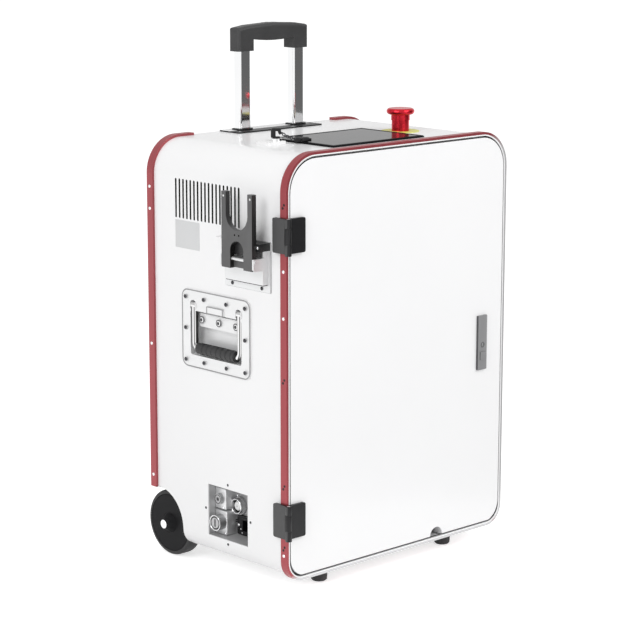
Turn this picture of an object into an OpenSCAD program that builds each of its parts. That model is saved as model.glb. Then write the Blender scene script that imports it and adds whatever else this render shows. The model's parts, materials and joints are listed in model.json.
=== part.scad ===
// Trolley-case laser cleaning machine.
// A white sheet-metal hoop on two wheels and two feet, with red edge trims, an inset front door,
// a telescopic handle, folding side handles, a folding gun rest and a top control panel.
// The cabinet frame has X across the front, Y from the front face to the back and Z upwards.

/* [Cabinet] */
// Outer width over the edge trims
cab_w = 480; // [460:1:560]
// Outer depth from the front edge to the back edge
cab_d = 320; // [316:1:360]
// Outer height over the edge trims, without the feet
cab_h = 650; // [640:1:720]
// Outer radius of the two top corners
corner_top_r = 57; // [50:1:58]
// Outer radius of the two bottom corners
corner_low_r = 33; // [30:1:40]
// Thickness of the wrapped body sheet
skin_t = 2; // [1.5:0.1:2.5]
// Height of the body's lower edge above the ground
ground_gap = 23.5; // [22:0.5:30]

/* [Edge trims] */
// Width of the red trim strips
trim_w = 13.5; // [10:0.5:16]
// Thickness of the red trim strips
trim_t = 4; // [3:0.5:4.5]
// Height at which the back trims end above the wheels
trim_low_z = 89; // [88:1:110]
// Distance of the back trims' upper ends from the cabinet's side
trim_end_in = 86; // [80:1:95]

/* [Door] */
// Gap all round between the door and the body sheet
door_gap = 1.8; // [1.5:0.1:3]
// Corner radius at the door's lower corners
door_low_r = 31; // [28:1:34]
// Depth of the door's folded edge
door_depth = 17; // [14:1:18]
// Thickness of the door sheet
door_t = 2; // [1.5:0.1:2.5]
// Distance of the cable notch from the centre
notch_x = 86; // [40:1:110]
// Radius of the cable notch
notch_r = 14; // [10:1:16]

/* [Hinges] */
// Height of a hinge leaf
hinge_h = 52; // [44:1:56]
// Height of the lower hinge's lower end
hinge_low_z = 71.5; // [68:0.5:90]
// Distance of the upper hinge's top from the cabinet's top
hinge_top_drop = 93; // [88:1:120]
// Radius of the hinge barrel
hinge_r = 5; // [4.5:0.1:5.2]
// Radius of the hinge pin
hinge_pin_r = 2.5; // [2:0.1:3]

/* [Lock] */
// Width of the lock plate
lock_w = 20.5; // [20:0.5:26]
// Height of the lock plate
lock_h = 89; // [84:0.5:100]
// Thickness of the lock plate
lock_t = 4; // [3:0.5:6]
// Distance of the lock plate's middle from the cabinet's side
lock_side = 55; // [54:1:62]
// Height of the lock plate's lower edge
lock_z = 266.5; // [240:0.5:300]

/* [Side vents] */
// Number of slots in a vent
vent_count = 18; // [8:1:20]
// Distance from slot to slot
vent_pitch = 8.57; // [8:0.01:9]
// Width of a slot
vent_slot_w = 3.5; // [2:0.1:4.5]
// Height of a slot
vent_slot_h = 61; // [50:1:64]
// Distance of the last slot from the back edge
vent_back = 63.8; // [60:0.1:70]
// Distance of the slots' top from the cabinet's top
vent_drop = 59; // [58:1:75]

/* [Side handles] */
// Width of the handle plate
handle_w = 156; // [152:1:162]
// Height of the handle plate
handle_h = 120.5; // [118:0.5:126]
// Distance of the handle's middle from the front
handle_y = 161.5; // [155:0.5:170]
// Gap between the handle plate and the gun rest's plate above it
handle_gap = 19; // [8:1:30]
// Distance between the two arms of the bail
bail_span = 105; // [100:1:106]
// Radius of the bail's bar
bail_r = 5; // [4:0.1:5.2]
// Radius of the rubber grip on the bail
bail_grip_r = 9; // [7:0.5:10]

/* [Gun rest] */
// Width of the fork
fork_w = 67.8; // [66:0.1:76]
// Height of the fork
fork_h = 114; // [105:0.5:118]
// Thickness of the fork
fork_t = 8.5; // [8:0.1:9]
// Width of the fork's U slot
fork_slot_w = 48; // [40:1:50]
// Distance of the fork's middle from the front
fork_y = 78.8; // [76:0.1:84]
// Distance of the fork's lower end below the cabinet's top
fork_drop = 174.5; // [170:0.1:182]

/* [Connector recess] */
// Width of the recess
recess_w = 92; // [90:1:94]
// Height of the recess
recess_h = 82; // [80:1:86]
// Depth of the recess behind the side sheet
recess_depth = 38; // [37:1:44]
// Distance of the recess's front edge from the back edge
recess_back = 227.5; // [220:0.5:230]
// Height of the recess's lower edge
recess_z = 37; // [36:1:40]

/* [Wheels and feet] */
// Radius of a wheel
wheel_r = 53; // [50:0.5:54]
// Width of a wheel
wheel_w = 24; // [20:1:25]
// Distance of the wheel axis from the back edge
wheel_back = 26; // [24:1:30]
// Radius of the wheel's axle bolt
axle_r = 5; // [4:0.5:6]
// Radius of the arch cut over a wheel
arch_r = 59.5; // [59:0.5:61]
// Height of the arch's centre
arch_z = 31; // [30:0.5:33]
// Radius of a foot
foot_r = 14.5; // [12:0.5:16]
// Distance of a foot from the centre line
foot_x = 138.7; // [120:0.1:160]
// Distance of a foot from the front
foot_y = 36.4; // [32:0.1:44]

/* [Trolley handle] */
// Width of a chrome tube
tube_w = 24; // [20:0.5:26]
// Depth of a chrome tube
tube_d = 16.5; // [13:0.5:17]
// Distance between the two tubes' centres
tube_span = 116; // [110:1:120]
// Distance of the tubes from the back edge
tube_back = 20; // [19:0.5:22]
// Height of the grip's lower ends above the cabinet, as photographed
grip_lift = 127; // [100:1:140]
// Width of the grip
grip_w = 152; // [148:1:158]
// Depth of the grip
grip_d = 24; // [21:0.5:25]
// Height of the grip
grip_h = 43; // [42:1:50]

/* [Top panel] */
// Distance of the touch screen from the cabinet's right side
screen_right_in = 149.5; // [145:0.5:155]
// Depth of the touch screen
screen_d = 140; // [130:1:141]
// Height that the touch screen stands above the sheet
screen_t = 3; // [3:0.5:5]
// Distance of the touch screen from the cabinet's left side
screen_left_in = 132.5; // [128:0.5:138]
// Distance of the screen's near edge from the front
screen_y = 39.5; // [36:0.5:40]
// Radius of the emergency stop's legend ring
estop_ring_r = 30.5; // [26:0.5:31]
// Radius of the emergency stop's mushroom head
estop_head_r = 22.3; // [20:0.1:24]
// Height of the emergency stop above the sheet
estop_h = 37; // [35:0.5:42]
// Distance of the emergency stop from the cabinet's side
estop_side = 117.5; // [112:0.5:122]
// Distance of the emergency stop from the front
estop_y = 123.5; // [115:0.5:130]
// Width of the key switch's base
key_w = 36; // [34:1:38]
// Distance of the key switch from the cabinet's side
key_side = 97; // [95:1:99]
// Distance of the key switch from the front
key_y = 139; // [125:1:140]

/* [Hidden] */
$fn = 64;

white_c = "white";
red_c = [0.66, 0.16, 0.2];
black_c = [0.12, 0.12, 0.13];
grip_c = [0.2, 0.2, 0.21];
steel_c = [0.78, 0.79, 0.8];
chrome_c = [0.86, 0.87, 0.88];
grey_c = [0.6, 0.6, 0.61];
yellow_c = [0.84, 0.86, 0.43];

// One overrun serves all cuts, and the gaps keep neighbours apart
over = 1;
far_cut = 60;
edge_r = 1;
fit = 0.05;
gap = 0.3;
loose = 0.4;

// Insets of the nested outlines, measured from the trims' outer edge
shell_in = trim_t;
inner_in = shell_in + skin_t;
door_in = inner_in + door_gap;
side_x = cab_w / 2 - shell_in;
trim_gap_half = cab_w / 2 - trim_end_in;
inside_x = side_x - skin_t;
top_z = cab_h - shell_in;
roof_z = top_z - skin_t;
floor_z = inner_in;

// Door stop lip behind the door, and the seal between them
seal_t = 3;
stop_w = 15;
stop_y = door_depth + seal_t;
lip_in = inner_in + stop_w;
notch_rise = 0.7;
notch_z = door_in + notch_rise;

// Back panel and its lip
back_set = 1;
back_t = 2;
back_lip_w = 12;
back_y = cab_d - back_set - back_t;

// Wheels, wells and ground
wheel_set = 13;
well_room = 3;
well_clear = 2;
well_t = 1.5;
well_gap = 1.5;
arch_shift = 11;
wheel_x = side_x - wheel_set - wheel_w / 2;
wheel_y = cab_d - wheel_back;
wheel_z = wheel_r - ground_gap;
arch_y = wheel_y + arch_shift;
well_x = side_x - wheel_set - wheel_w - well_room;
well_step_x = side_x - wheel_set + well_gap + well_t;
hub_rim_share = 0.88;

// Fork pivot and bracket
pin_rise = 14.3;
pin_out = 27;
rest_front = 41.4;
rest_drop = 35;
fork_z = cab_h - fork_drop;
fork_pin_z = fork_z + pin_rise;
fork_pin_x = side_x + pin_out;
fork_pin_r = 2.5;
rest_w = 102;
rest_h = 76;
rest_t = 2;
rest_y = fork_y - rest_front;
rest_z = fork_z - rest_drop;
ear_w = 3.2;
ear_reach = 4.5;

// Handle window, dish and bail pivot
plate_t = 2;
plate_r = 7;
window_room = 1.5;
window_half = bail_span / 2 + bail_r + window_room;
dish_depth = 19;
dish_t = 1.5;
pivot_rise = 97;
bar_rise = 30;
window_rise = 19;
window_top_rise = 89;
bail_set = 4;
handle_z = rest_z - handle_gap - handle_h;
pivot_z = handle_z + pivot_rise;
bail_bar_z = handle_z + bar_rise;
window_z = handle_z + window_rise;
window_top = handle_z + window_top_rise;
bail_x = side_x + plate_t - bail_set;
pivot_r = 3;
eye_r = 8;

// Hinge axis, just outside the front left corner
hinge_out = 1.5;
hinge_x = -(cab_w / 2 + hinge_out);
hinge_y = -(hinge_r + loose);
hinge_low_mid = hinge_low_z + hinge_h / 2;
hinge_top_mid = cab_h - hinge_top_drop - hinge_h / 2;

// Lock
lock_cyl_rise = 41;
lock_button_rise = 23;
lock_x = cab_w / 2 - lock_side;
lock_cyl_z = lock_z + lock_cyl_rise;
lock_button_z = lock_z + lock_button_rise;
cam_len = 42;

// Trolley
tube_y = cab_d - tube_back;
base_w = 182;
base_d = 50;
base_t = 2;
tube_inside = 300;
guide_room = 10;
grip_z = top_z + grip_lift;
tube_low_z = cab_h - tube_inside;
guide_low_z = tube_low_z - grip_lift - guide_room;
tube_wall = 1.2;
guide_wall = 1.5;
guide_gap = 0.5;

// Screen, emergency stop and key switch
estop_x = cab_w / 2 - estop_side;
key_x = cab_w / 2 - key_side;
screen_right = cab_w / 2 - screen_right_in;
screen_left = cab_w / 2 - screen_left_in;
screen_w = screen_right + screen_left;
screen_x = (screen_left - screen_right) / 2;
screen_mid_y = screen_y + screen_d / 2;
screen_rim = 6;
glass_t = 1.2;
screen_side_border = 19;
screen_end_border = 32;
screen_back_d = screen_d - 2 * screen_end_border;
screen_back_w = screen_w - 2 * screen_side_border;
screen_back_h = 30;
collar_r = 14;
estop_travel = 4;
key_base_t = 4.5;
key_d = 30;
key_shift_x = 8;
key_shift_y = 3;

// Rear compartment
partition_y = 150;
partition_t = 2;
fan_size = 60;
fan_t = 25;
vent_y = cab_d - vent_back - (vent_count - 1) * vent_pitch - vent_slot_w;
recess_y = cab_d - recess_back;

// Overall reach, which sets the origin under the middle of the whole machine
reach_left = fork_pin_x + ear_reach;
reach_right = bail_x + bail_grip_r;
reach_front = hinge_y - hinge_r;
reach_back = wheel_y + wheel_r;

// Moves the cabinet frame to the origin under the machine's middle, on the ground
module place() {
  translate([(reach_left - reach_right) / 2, -(reach_front + reach_back) / 2, ground_gap])
    children();
}

// Draws on the right side, or mirrored on the left side
module on_side(side) {
  if (side < 0) {
    mirror([1, 0, 0]) children();
  } else {
    children();
  }
}

// Extrusions of a flat outline along each axis, from one place to another
module along_x(x0, x1) {
  translate([x0, 0, 0]) rotate([90, 0, 90]) linear_extrude(x1 - x0) children();
}
module along_y(y0, y1) {
  translate([0, y1, 0]) rotate([90, 0, 0]) linear_extrude(y1 - y0) children();
}
module along_z(z0, z1) {
  translate([0, 0, z0]) linear_extrude(z1 - z0) children();
}

// Round bars along each axis
module bar_x(x0, x1, r) {
  translate([x0, 0, 0]) rotate([0, 90, 0]) cylinder(h = x1 - x0, r = r);
}
module bar_y(y0, y1, r) {
  translate([0, y1, 0]) rotate([90, 0, 0]) cylinder(h = y1 - y0, r = r);
}

// A rectangle with round corners, from its lower left corner
module rounded(w, h, r) {
  translate([r, 0]) square([w - 2 * r, h]);
  translate([0, r]) square([w, h - 2 * r]);
  for (x = [r, w - r], y = [r, h - r]) translate([x, y]) circle(r);
}
module rounded_mid(w, h, r) {
  translate([-w / 2, -h / 2]) rounded(w, h, r);
}

// The cabinet's outline, drawn in by an inset
module section(inset, low_r) {
  w = cab_w - 2 * inset;
  top_r = corner_top_r - inset;
  base_r = is_undef(low_r) ? corner_low_r - inset : low_r;
  z0 = inset;
  z1 = cab_h - inset;
  translate([-w / 2, z0 + base_r]) square([w, z1 - z0 - base_r - top_r]);
  translate([-w / 2 + base_r, z0]) square([w - 2 * base_r, z1 - z0 - top_r]);
  translate([-w / 2 + top_r, z0 + base_r]) square([w - 2 * top_r, z1 - z0 - base_r]);
  for (side = [-1, 1]) {
    translate([side * (w / 2 - top_r), z1 - top_r]) circle(top_r);
    translate([side * (w / 2 - base_r), z0 + base_r]) circle(base_r);
  }
}

// A round-topped cut in side view that is open to the back and to the ground
module wheel_cut(y, z, r) {
  translate([y, z]) circle(r);
  translate([y - r, -far_cut]) square([r + far_cut, far_cut + z]);
  translate([y, -far_cut]) square([far_cut, far_cut + z + r]);
}

// The cut over a wheel in the side sheet, and the wider space round the wheel behind it
module arch_outline(grow) {
  wheel_cut(arch_y, arch_z, arch_r + grow);
}
module well_outline(grow) {
  wheel_cut(wheel_y, wheel_z, wheel_r + well_clear + grow);
}

// The slots of one vent in side view
module vent_outline() {
  z1 = cab_h - vent_drop;
  z0 = z1 - vent_slot_h;
  r = vent_slot_w / 2;
  for (i = [0:vent_count - 1]) {
    y = vent_y + i * vent_pitch;
    translate([y, z0 + r]) square([vent_slot_w, vent_slot_h - vent_slot_w]);
    translate([y + r, z0 + r]) circle(r);
    translate([y + r, z1 - r]) circle(r);
  }
}

// The round cable notch at the foot of the door, with room added
module notch_outline(grow) {
  intersection() {
    translate([notch_x, notch_z]) circle(notch_r + grow);
    translate([0, inner_in]) square([cab_w, cab_h]);
  }
}

// The hole in the side sheet behind a handle plate
module handle_hole_outline() {
  half = window_half + dish_t + gap;
  z0 = window_z - dish_t - gap;
  translate([handle_y - half, z0]) square([2 * half, pivot_z + eye_r + dish_t + gap - z0]);
}

module body_shell() {
  color(white_c) place() difference() {
    union() {
      along_y(0, cab_d) difference() {
        section(shell_in);
        section(inner_in);
      }
      along_y(back_y - back_t, back_y) difference() {
        section(inner_in);
        section(inner_in + back_lip_w);
      }
    }
    for (side = [-1, 1]) on_side(side) {
      along_x(inside_x - over, side_x + over) vent_outline();
      along_x(inside_x - over, side_x + over) handle_hole_outline();
      along_x(inside_x - over, side_x + over) arch_outline(0);
      well_space(well_t);
    }
    along_x(-side_x - over, -inside_x + over)
      translate([recess_y, recess_z]) square([recess_w, recess_h]);
    screen_hole();
    translate([estop_x, estop_y, roof_z - over]) cylinder(h = skin_t + 2 * over, r = estop_hole_r);
    key_place() translate([0, 0, roof_z - over]) cylinder(h = skin_t + 2 * over, r = key_neck_r + gap);
    tube_places() along_z(roof_z - over, top_z + over)
      rounded_mid(tube_w + 2 * guide_gap, tube_d + 2 * guide_gap, tube_corner_r + guide_gap);
  }
}

// The opening for the screen's back box
module screen_hole() {
  translate([-screen_x, screen_mid_y, 0]) along_z(roof_z - over, top_z + over)
    square([screen_back_w + 2 * gap, screen_back_d + 2 * gap], center = true);
}

// The welded stop frame behind the door, cut away round the cable notch
module door_stop() {
  color(white_c) place() along_y(stop_y, stop_y + skin_t) difference() {
    section(inner_in + fit);
    section(lip_in);
    notch_outline(skin_t);
  }
}

module front_trim() {
  color(red_c) place() along_y(0, trim_w) difference() {
    section(0);
    section(shell_in);
  }
}

// One back trim, which ends above the wheel and beside the trolley handle
module rear_trim(side) {
  place() on_side(side) intersection() {
    along_y(cab_d - trim_w, cab_d) difference() {
      section(0);
      section(shell_in);
    }
    translate([trim_gap_half, 0, trim_low_z]) cube([cab_w, cab_d + over, cab_h]);
  }
}
module rear_trim_left() {
  color(red_c) rear_trim(-1);
}
module rear_trim_right() {
  color(red_c) rear_trim(1);
}

module back_panel() {
  color(white_c) place() difference() {
    along_y(back_y, back_y + back_t) section(inner_in + gap);
    for (side = [-1, 1]) on_side(side) {
      along_x(well_x - well_t - gap, cab_w) arch_outline(well_t + gap);
      along_x(well_x - well_t - gap, cab_w) well_outline(well_t + gap);
    }
  }
}

// The wall between the gun store and the rear compartment
cable_hole_x = 60;
cable_hole_z = 90;
cable_hole_r = 16;
module partition() {
  dish_x = side_x + plate_t - dish_depth - dish_t - gap;
  dish_z = window_z - dish_t - gap;
  color(grey_c) place() difference() {
    along_y(partition_y, partition_y + partition_t) section(inner_in + gap);
    for (side = [-1, 1]) on_side(side) translate([dish_x, 0, dish_z])
      cube([far_cut, cab_d, pivot_z + eye_r + dish_t + gap - dish_z]);
    translate([-side_x, 0, recess_z - box_flange - gap])
      cube([recess_depth + socket_tail + gap, cab_d, recess_h + 2 * box_flange + 2 * gap]);
    for (x = [-1, 1]) translate([x * cable_hole_x, 0, cable_hole_z])
      bar_y(partition_y - over, partition_y + partition_t + over, cable_hole_r);
  }
}

// The room of one wheel housing: wide round the wheel, and as narrow as the arch at the sheet
module well_space(grow) {
  along_x(well_step_x, inside_x) arch_outline(grow);
  along_x(well_step_x - well_t, well_step_x) arch_outline(grow);
  along_x(well_x - well_t, well_step_x) well_outline(grow);
}

// Closed housings round the two wheels, flush with the sheet's cut edge
module wheel_wells() {
  color(white_c) place() for (side = [-1, 1]) on_side(side) difference() {
    intersection() {
      well_space(well_t);
      along_y(0, cab_d) section(shell_in);
    }
    along_x(well_step_x, cab_w) arch_outline(0);
    along_x(well_step_x - well_t - over, well_step_x + over) intersection() {
      arch_outline(0);
      well_outline(0);
    }
    along_x(well_x, well_step_x - well_t) well_outline(0);
    translate([0, wheel_y, wheel_z]) bar_x(well_x - far_cut, cab_w, axle_r + fit);
  }
}

// A fixed hinge leaf: it wraps the trim and lies on the side sheet
leaf_len = 25;
leaf_t = 5;
leaf_edge_r = 3;
knuckle_h = 14;
barrel_extra = 2.5;
module fixed_leaf(mid_z) {
  half = hinge_h / 2;
  place() translate([0, 0, mid_z]) {
    difference() {
      union() {
        along_x(-cab_w / 2 - leaf_t, -cab_w / 2 - loose)
          translate([hinge_y, -half]) square([leaf_len - hinge_y - leaf_edge_r, hinge_h]);
        along_x(-cab_w / 2 - leaf_t, -cab_w / 2 - loose)
          translate([0, -half]) rounded(leaf_len, hinge_h, leaf_edge_r);
        along_x(-cab_w / 2 - loose - over, -side_x) translate([trim_w + gap, -half + leaf_edge_r])
          square([leaf_len - trim_w - gap - leaf_edge_r, hinge_h - 2 * leaf_edge_r]);
        translate([hinge_x, hinge_y, -half - barrel_extra])
          cylinder(h = hinge_h + barrel_extra, r = hinge_r);
      }
      translate([hinge_x, hinge_y, -half + knuckle_h - loose])
        cylinder(h = hinge_h - 2 * knuckle_h + 2 * loose, r = hinge_r + loose);
      translate([hinge_x, hinge_y, -half - barrel_extra + over])
        cylinder(h = hinge_h + barrel_extra, r = hinge_pin_r + fit);
    }
  }
}
module upper_hinge_fixed_leaf() {
  color(black_c) fixed_leaf(hinge_top_mid);
}
module lower_hinge_fixed_leaf() {
  color(black_c) fixed_leaf(hinge_low_mid);
}

// A door leaf: its knuckle sits between the two knuckles of the fixed leaf
door_leaf_len = 35;
module door_leaf(mid_z) {
  half = hinge_h / 2;
  door_x = -(cab_w / 2 - door_in);
  place() translate([0, 0, mid_z]) difference() {
    union() {
      translate([hinge_x, hinge_y, -half + knuckle_h])
        cylinder(h = hinge_h - 2 * knuckle_h, r = hinge_r);
      along_y(-leaf_t - loose, -loose) intersection() {
        translate([hinge_x, -half]) rounded(door_leaf_len, hinge_h, leaf_edge_r);
        union() {
          translate([hinge_x + hinge_r + loose, -half]) square([door_leaf_len, hinge_h]);
          translate([hinge_x, -half + knuckle_h]) square([door_leaf_len, hinge_h - 2 * knuckle_h]);
        }
      }
      along_y(-loose - over, 0) translate([door_x + over, -half + leaf_edge_r])
        square([hinge_x + door_leaf_len - leaf_edge_r - door_x - over, hinge_h - 2 * leaf_edge_r]);
    }
    translate([hinge_x, hinge_y, -half]) cylinder(h = hinge_h, r = hinge_pin_r + fit);
  }
}
module upper_hinge_door_leaf() {
  color(black_c) door_leaf(hinge_top_mid);
}
module lower_hinge_door_leaf() {
  color(black_c) door_leaf(hinge_low_mid);
}

module hinge_pins() {
  color(steel_c) place() for (z = [hinge_low_mid, hinge_top_mid])
    translate([hinge_x, hinge_y, z - hinge_h / 2 - barrel_extra + over])
      cylinder(h = hinge_h + barrel_extra - over, r = hinge_pin_r);
}

// The door: a folded pan with a return flange and the cable notch in its foot
door_flange = 12;
module door_panel() {
  color(white_c) place() difference() {
    union() {
      along_y(0, door_t) section(door_in, door_low_r);
      along_y(door_t, door_depth) difference() {
        section(door_in, door_low_r);
        section(door_in + door_t, door_low_r - door_t);
      }
      along_y(door_depth - door_t, door_depth) difference() {
        section(door_in, door_low_r);
        section(door_in + door_flange, door_low_r - door_flange);
      }
      along_y(0, door_depth) intersection() {
        section(door_in, door_low_r);
        notch_outline(door_t);
      }
    }
    along_y(-over, door_depth + over) notch_outline(0);
    lock_places() along_y(-over, door_t + over) circle(lock_neck_r + gap);
    translate([lock_x, 0, lock_button_z]) along_y(-over, door_t + over)
      square([lock_button_w + 2 * gap, lock_button_h + 2 * gap], center = true);
  }
}

// Three hat-section bars welded inside the door
hat_w = 40;
hat_h = 12;
hat_flange = 12;
hat_t = 1.5;
hat_x_shares = [-0.3, 0.05, 0.25];
hat_end = 60;
module door_stiffener() {
  color(white_c) place() for (share = hat_x_shares) translate([share * cab_w, 0, 0])
    along_z(hat_end, cab_h - hat_end) difference() {
      union() {
        translate([-hat_w / 2, door_t]) square([hat_w, hat_h]);
        translate([-hat_w / 2 - hat_flange, door_t]) square([hat_w + 2 * hat_flange, hat_t]);
      }
      translate([-hat_w / 2 + hat_t, door_t - over]) square([hat_w - 2 * hat_t, hat_h - hat_t + over]);
    }
}

// The rubber seal on the back of the door's flange
seal_w = 9;
seal_in = 2;
module door_seal() {
  color(grip_c) place() difference() {
    along_y(door_depth, door_depth + seal_t - gap) difference() {
      section(door_in + seal_in, door_low_r - seal_in);
      section(door_in + seal_in + seal_w, door_low_r - seal_in - seal_w);
    }
    along_y(0, cab_d) notch_outline(door_t);
  }
}

// The lock: a plate with a round cylinder and a square button
lock_neck_r = 6.5;
lock_neck_len = 4;
lock_button_w = 11.5;
lock_button_h = 13.5;
lock_plate_r = 1;
module lock_places() {
  translate([lock_x, 0, lock_cyl_z]) children();
}
module lock_plate() {
  color(grey_c) place() difference() {
    union() {
      translate([lock_x, 0, lock_z + lock_h / 2]) along_y(-lock_t, 0)
        rounded_mid(lock_w, lock_h, lock_plate_r);
      lock_places() bar_y(-lock_t, door_t + lock_neck_len, lock_neck_r);
    }
    lock_places() bar_y(-far_cut, far_cut, lock_pin_r + fit);
    lock_places() bar_y(-lock_t - over, -lock_t + lock_face_t, lock_face_bore_r);
    translate([lock_x, 0, lock_button_z]) along_y(-lock_t - over, over)
      square([lock_button_w, lock_button_h], center = true);
  }
}
lock_pin_r = 4;
lock_face_t = 2;
lock_face_bore_r = 4.8;
lock_proud = 1;
lock_flange = 2;
module lock_button() {
  color(grey_c) place() translate([lock_x, 0, lock_button_z]) {
    along_y(-lock_t - lock_proud, door_t + over)
      square([lock_button_w - 2 * gap, lock_button_h - 2 * gap], center = true);
    along_y(door_t + gap, door_t + over)
      square([lock_button_w + lock_flange, lock_button_h + lock_flange], center = true);
  }
}

// The lock's cylinder carries the cam behind the door
key_slot_w = 1.6;
key_slot_h = 6;
key_slot_deep = 1;
cam_w = 14;
cam_t = 2.5;
cam_y = stop_y + skin_t + loose;
module lock_cylinder() {
  color(chrome_c) place() lock_places() difference() {
    union() {
      bar_y(-lock_t - gap, -lock_t + lock_face_t - gap, lock_face_bore_r - fit);
      bar_y(-lock_t, cam_y + cam_t, lock_pin_r);
      along_y(cam_y, cam_y + cam_t) {
        circle(cam_w / 2);
        translate([-cam_w / 2, -cam_len]) square([cam_w, cam_len]);
      }
    }
    along_y(-far_cut, -lock_t + key_slot_deep) square([key_slot_w, key_slot_h], center = true);
  }
}

// The recessed connector box in the left side
box_t = 1.5;
box_flange = 4;
module connector_box() {
  back_x = -(side_x - recess_depth);
  color(steel_c) place() difference() {
    union() {
      along_x(-inside_x, back_x + box_t) translate([recess_y - box_t, recess_z - box_t])
        square([recess_w + 2 * box_t, recess_h + 2 * box_t]);
      along_x(-inside_x, -inside_x + box_t)
        translate([recess_y - box_flange, recess_z - box_flange])
          square([recess_w + 2 * box_flange, recess_h + 2 * box_flange]);
    }
    along_x(-side_x, back_x) translate([recess_y, recess_z]) square([recess_w, recess_h]);
    socket_at(fibre_yz) bar_x(-over, box_t + over, socket_neck_r);
    socket_at(signal_yz) bar_x(-over, box_t + over, socket_neck_r);
    socket_at(gas_yz) bar_x(-over, box_t + over, gas_neck_r);
    socket_at(inlet_yz) translate([-over, -inlet_w / 2 + inlet_rim, -inlet_h / 2 + inlet_rim])
      cube([box_t + 2 * over, inlet_w - 2 * inlet_rim, inlet_h - 2 * inlet_rim]);
  }
}

// Socket places in the recess, from its lower front corner
fibre_yz = [57.3, 47];
signal_yz = [77.8, 21.1];
gas_yz = [79, 58];
inlet_yz = [36.3, 16.5];
socket_neck_r = 9;
gas_neck_r = 6;
inlet_w = 50;
inlet_h = 31;
inlet_rim = 3;
inlet_mouth_w = 26;
inlet_mouth_h = 18;
inlet_t = 5;
socket_tail = 24;
blade_set = 3;
module socket_at(yz) {
  translate([-(side_x - recess_depth), recess_y + yz[0], recess_z + yz[1]]) children();
}

// A knurled nut, made by flutes round its edge
module knurled_nut(x0, x1, r, flutes) {
  difference() {
    bar_x(x0, x1, r);
    for (i = [0:flutes - 1]) rotate([i * 360 / flutes, 0, 0]) translate([0, 0, r])
      bar_x(x0 - over, x1 + over, r / flutes);
  }
}
nut_flutes = 20;

// Black nuts round the roots of two sockets
socket_nut_t = 6;
module socket_nut(r, bore_r) {
  difference() {
    knurled_nut(-socket_nut_t, 0, r, nut_flutes);
    bar_x(-socket_nut_t - over, over, bore_r + fit);
  }
}
module socket_nuts() {
  color(black_c) place() {
    socket_at(signal_yz) socket_nut(signal_nut_r, signal_body_r);
    socket_at(gas_yz) socket_nut(gas_nut_r, gas_r - skin_t);
  }
}
fibre_r = 12.2;
fibre_nut_r = 14.5;
fibre_len = 11;
module fibre_socket() {
  color(grey_c) place() socket_at(fibre_yz) difference() {
    union() {
      bar_x(-fibre_len, 0, fibre_r);
      knurled_nut(-fibre_len / 2, 0, fibre_nut_r, nut_flutes);
      bar_x(-over, 2 * fibre_len, socket_neck_r - fit);
    }
    bar_x(-fibre_len - over, -fibre_len / 2, fibre_r - skin_t);
  }
}
signal_r = 12.5;
signal_nut_r = 13.5;
signal_body_r = 11.5;
signal_core_r = 8.5;
signal_slot = 3;
signal_len = 37;
module signal_socket() {
  color(grey_c) place() socket_at(signal_yz) difference() {
    union() {
      bar_x(-signal_len, 0, signal_body_r);
      bar_x(-signal_len, -signal_len / 2, signal_r);
      bar_x(-over, signal_len / 2, socket_neck_r - fit);
    }
    difference() {
      bar_x(-signal_len - over, -signal_len / 2 - signal_len / 4, signal_r - skin_t);
      bar_x(-signal_len - over, 0, signal_core_r);
    }
    along_x(-far_cut, -signal_len + signal_slot) square([signal_slot, signal_r], center = true);
  }
}
gas_r = 8.5;
gas_len = 30;
gas_bore_r = 3;
gas_nut_r = 9.4;
module gas_fitting() {
  color(chrome_c) place() socket_at(gas_yz) difference() {
    union() {
      bar_x(-gas_len, -gas_len / 2, gas_r);
      bar_x(-gas_len, 0, gas_r - skin_t);
      bar_x(-over, gas_len / 2, gas_neck_r - fit);
    }
    bar_x(-gas_len - over, gas_len / 2 + over, gas_bore_r);
  }
}

// The mains inlet: a flanged body with a socket and three blades
blade_spread = 7;
inlet_blade_w = 2;
inlet_blade_h = 4;
module power_inlet() {
  color(black_c) place() socket_at(inlet_yz) {
    difference() {
      union() {
        along_x(-inlet_t, 0) rounded_mid(inlet_w, inlet_h, inlet_rim);
        along_x(-over, socket_tail - over) square([inlet_w - 2 * inlet_rim - 2 * gap,
          inlet_h - 2 * inlet_rim - 2 * gap], center = true);
      }
      along_x(-inlet_t - over, inlet_w / 3) rounded_mid(inlet_mouth_w, inlet_mouth_h, edge_r);
    }
    for (i = [-1, 0, 1]) translate([0, i * blade_spread, (i == 0 ? 1 : -1) * inlet_rim / 2])
      along_x(blade_set, inlet_w / 3 + over) square([inlet_blade_w, inlet_blade_h], center = true);
  }
}

// The gun rest's base plate
tray_rise = 9.5;
tray_front = 5.6;
tray_w = 84;
tray_low = 12.5;
top_bar_h = 11.5;
tray_x = side_x + rest_t + tray_rise;
tray_top = rest_z + rest_h - top_bar_h;
block_x = fork_pin_x - fork_t / 2 - loose;
out_x = fork_pin_x + ear_reach;
ear_y = fork_w / 2 + loose;
ear_h = 18.5;
ear_foot = 3;
module gun_rest_plate() {
  color(steel_c) place() along_x(-side_x - rest_t, -side_x) translate([rest_y, rest_z])
    rounded(rest_w, rest_h, edge_r);
}

// The black block that the fork leans on: a top bar and a buffer below it
buffer_rise = 20.5;
module gun_rest_top_bar() {
  buffer_z = fork_z + buffer_rise;
  color(black_c) place() {
    along_x(-block_x, -side_x - rest_t) translate([rest_y, tray_top]) square([rest_w, top_bar_h]);
    along_x(-block_x, -tray_x) translate([fork_y - fork_w / 2, buffer_z])
      square([fork_w, tray_top - buffer_z + over]);
  }
}

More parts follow.
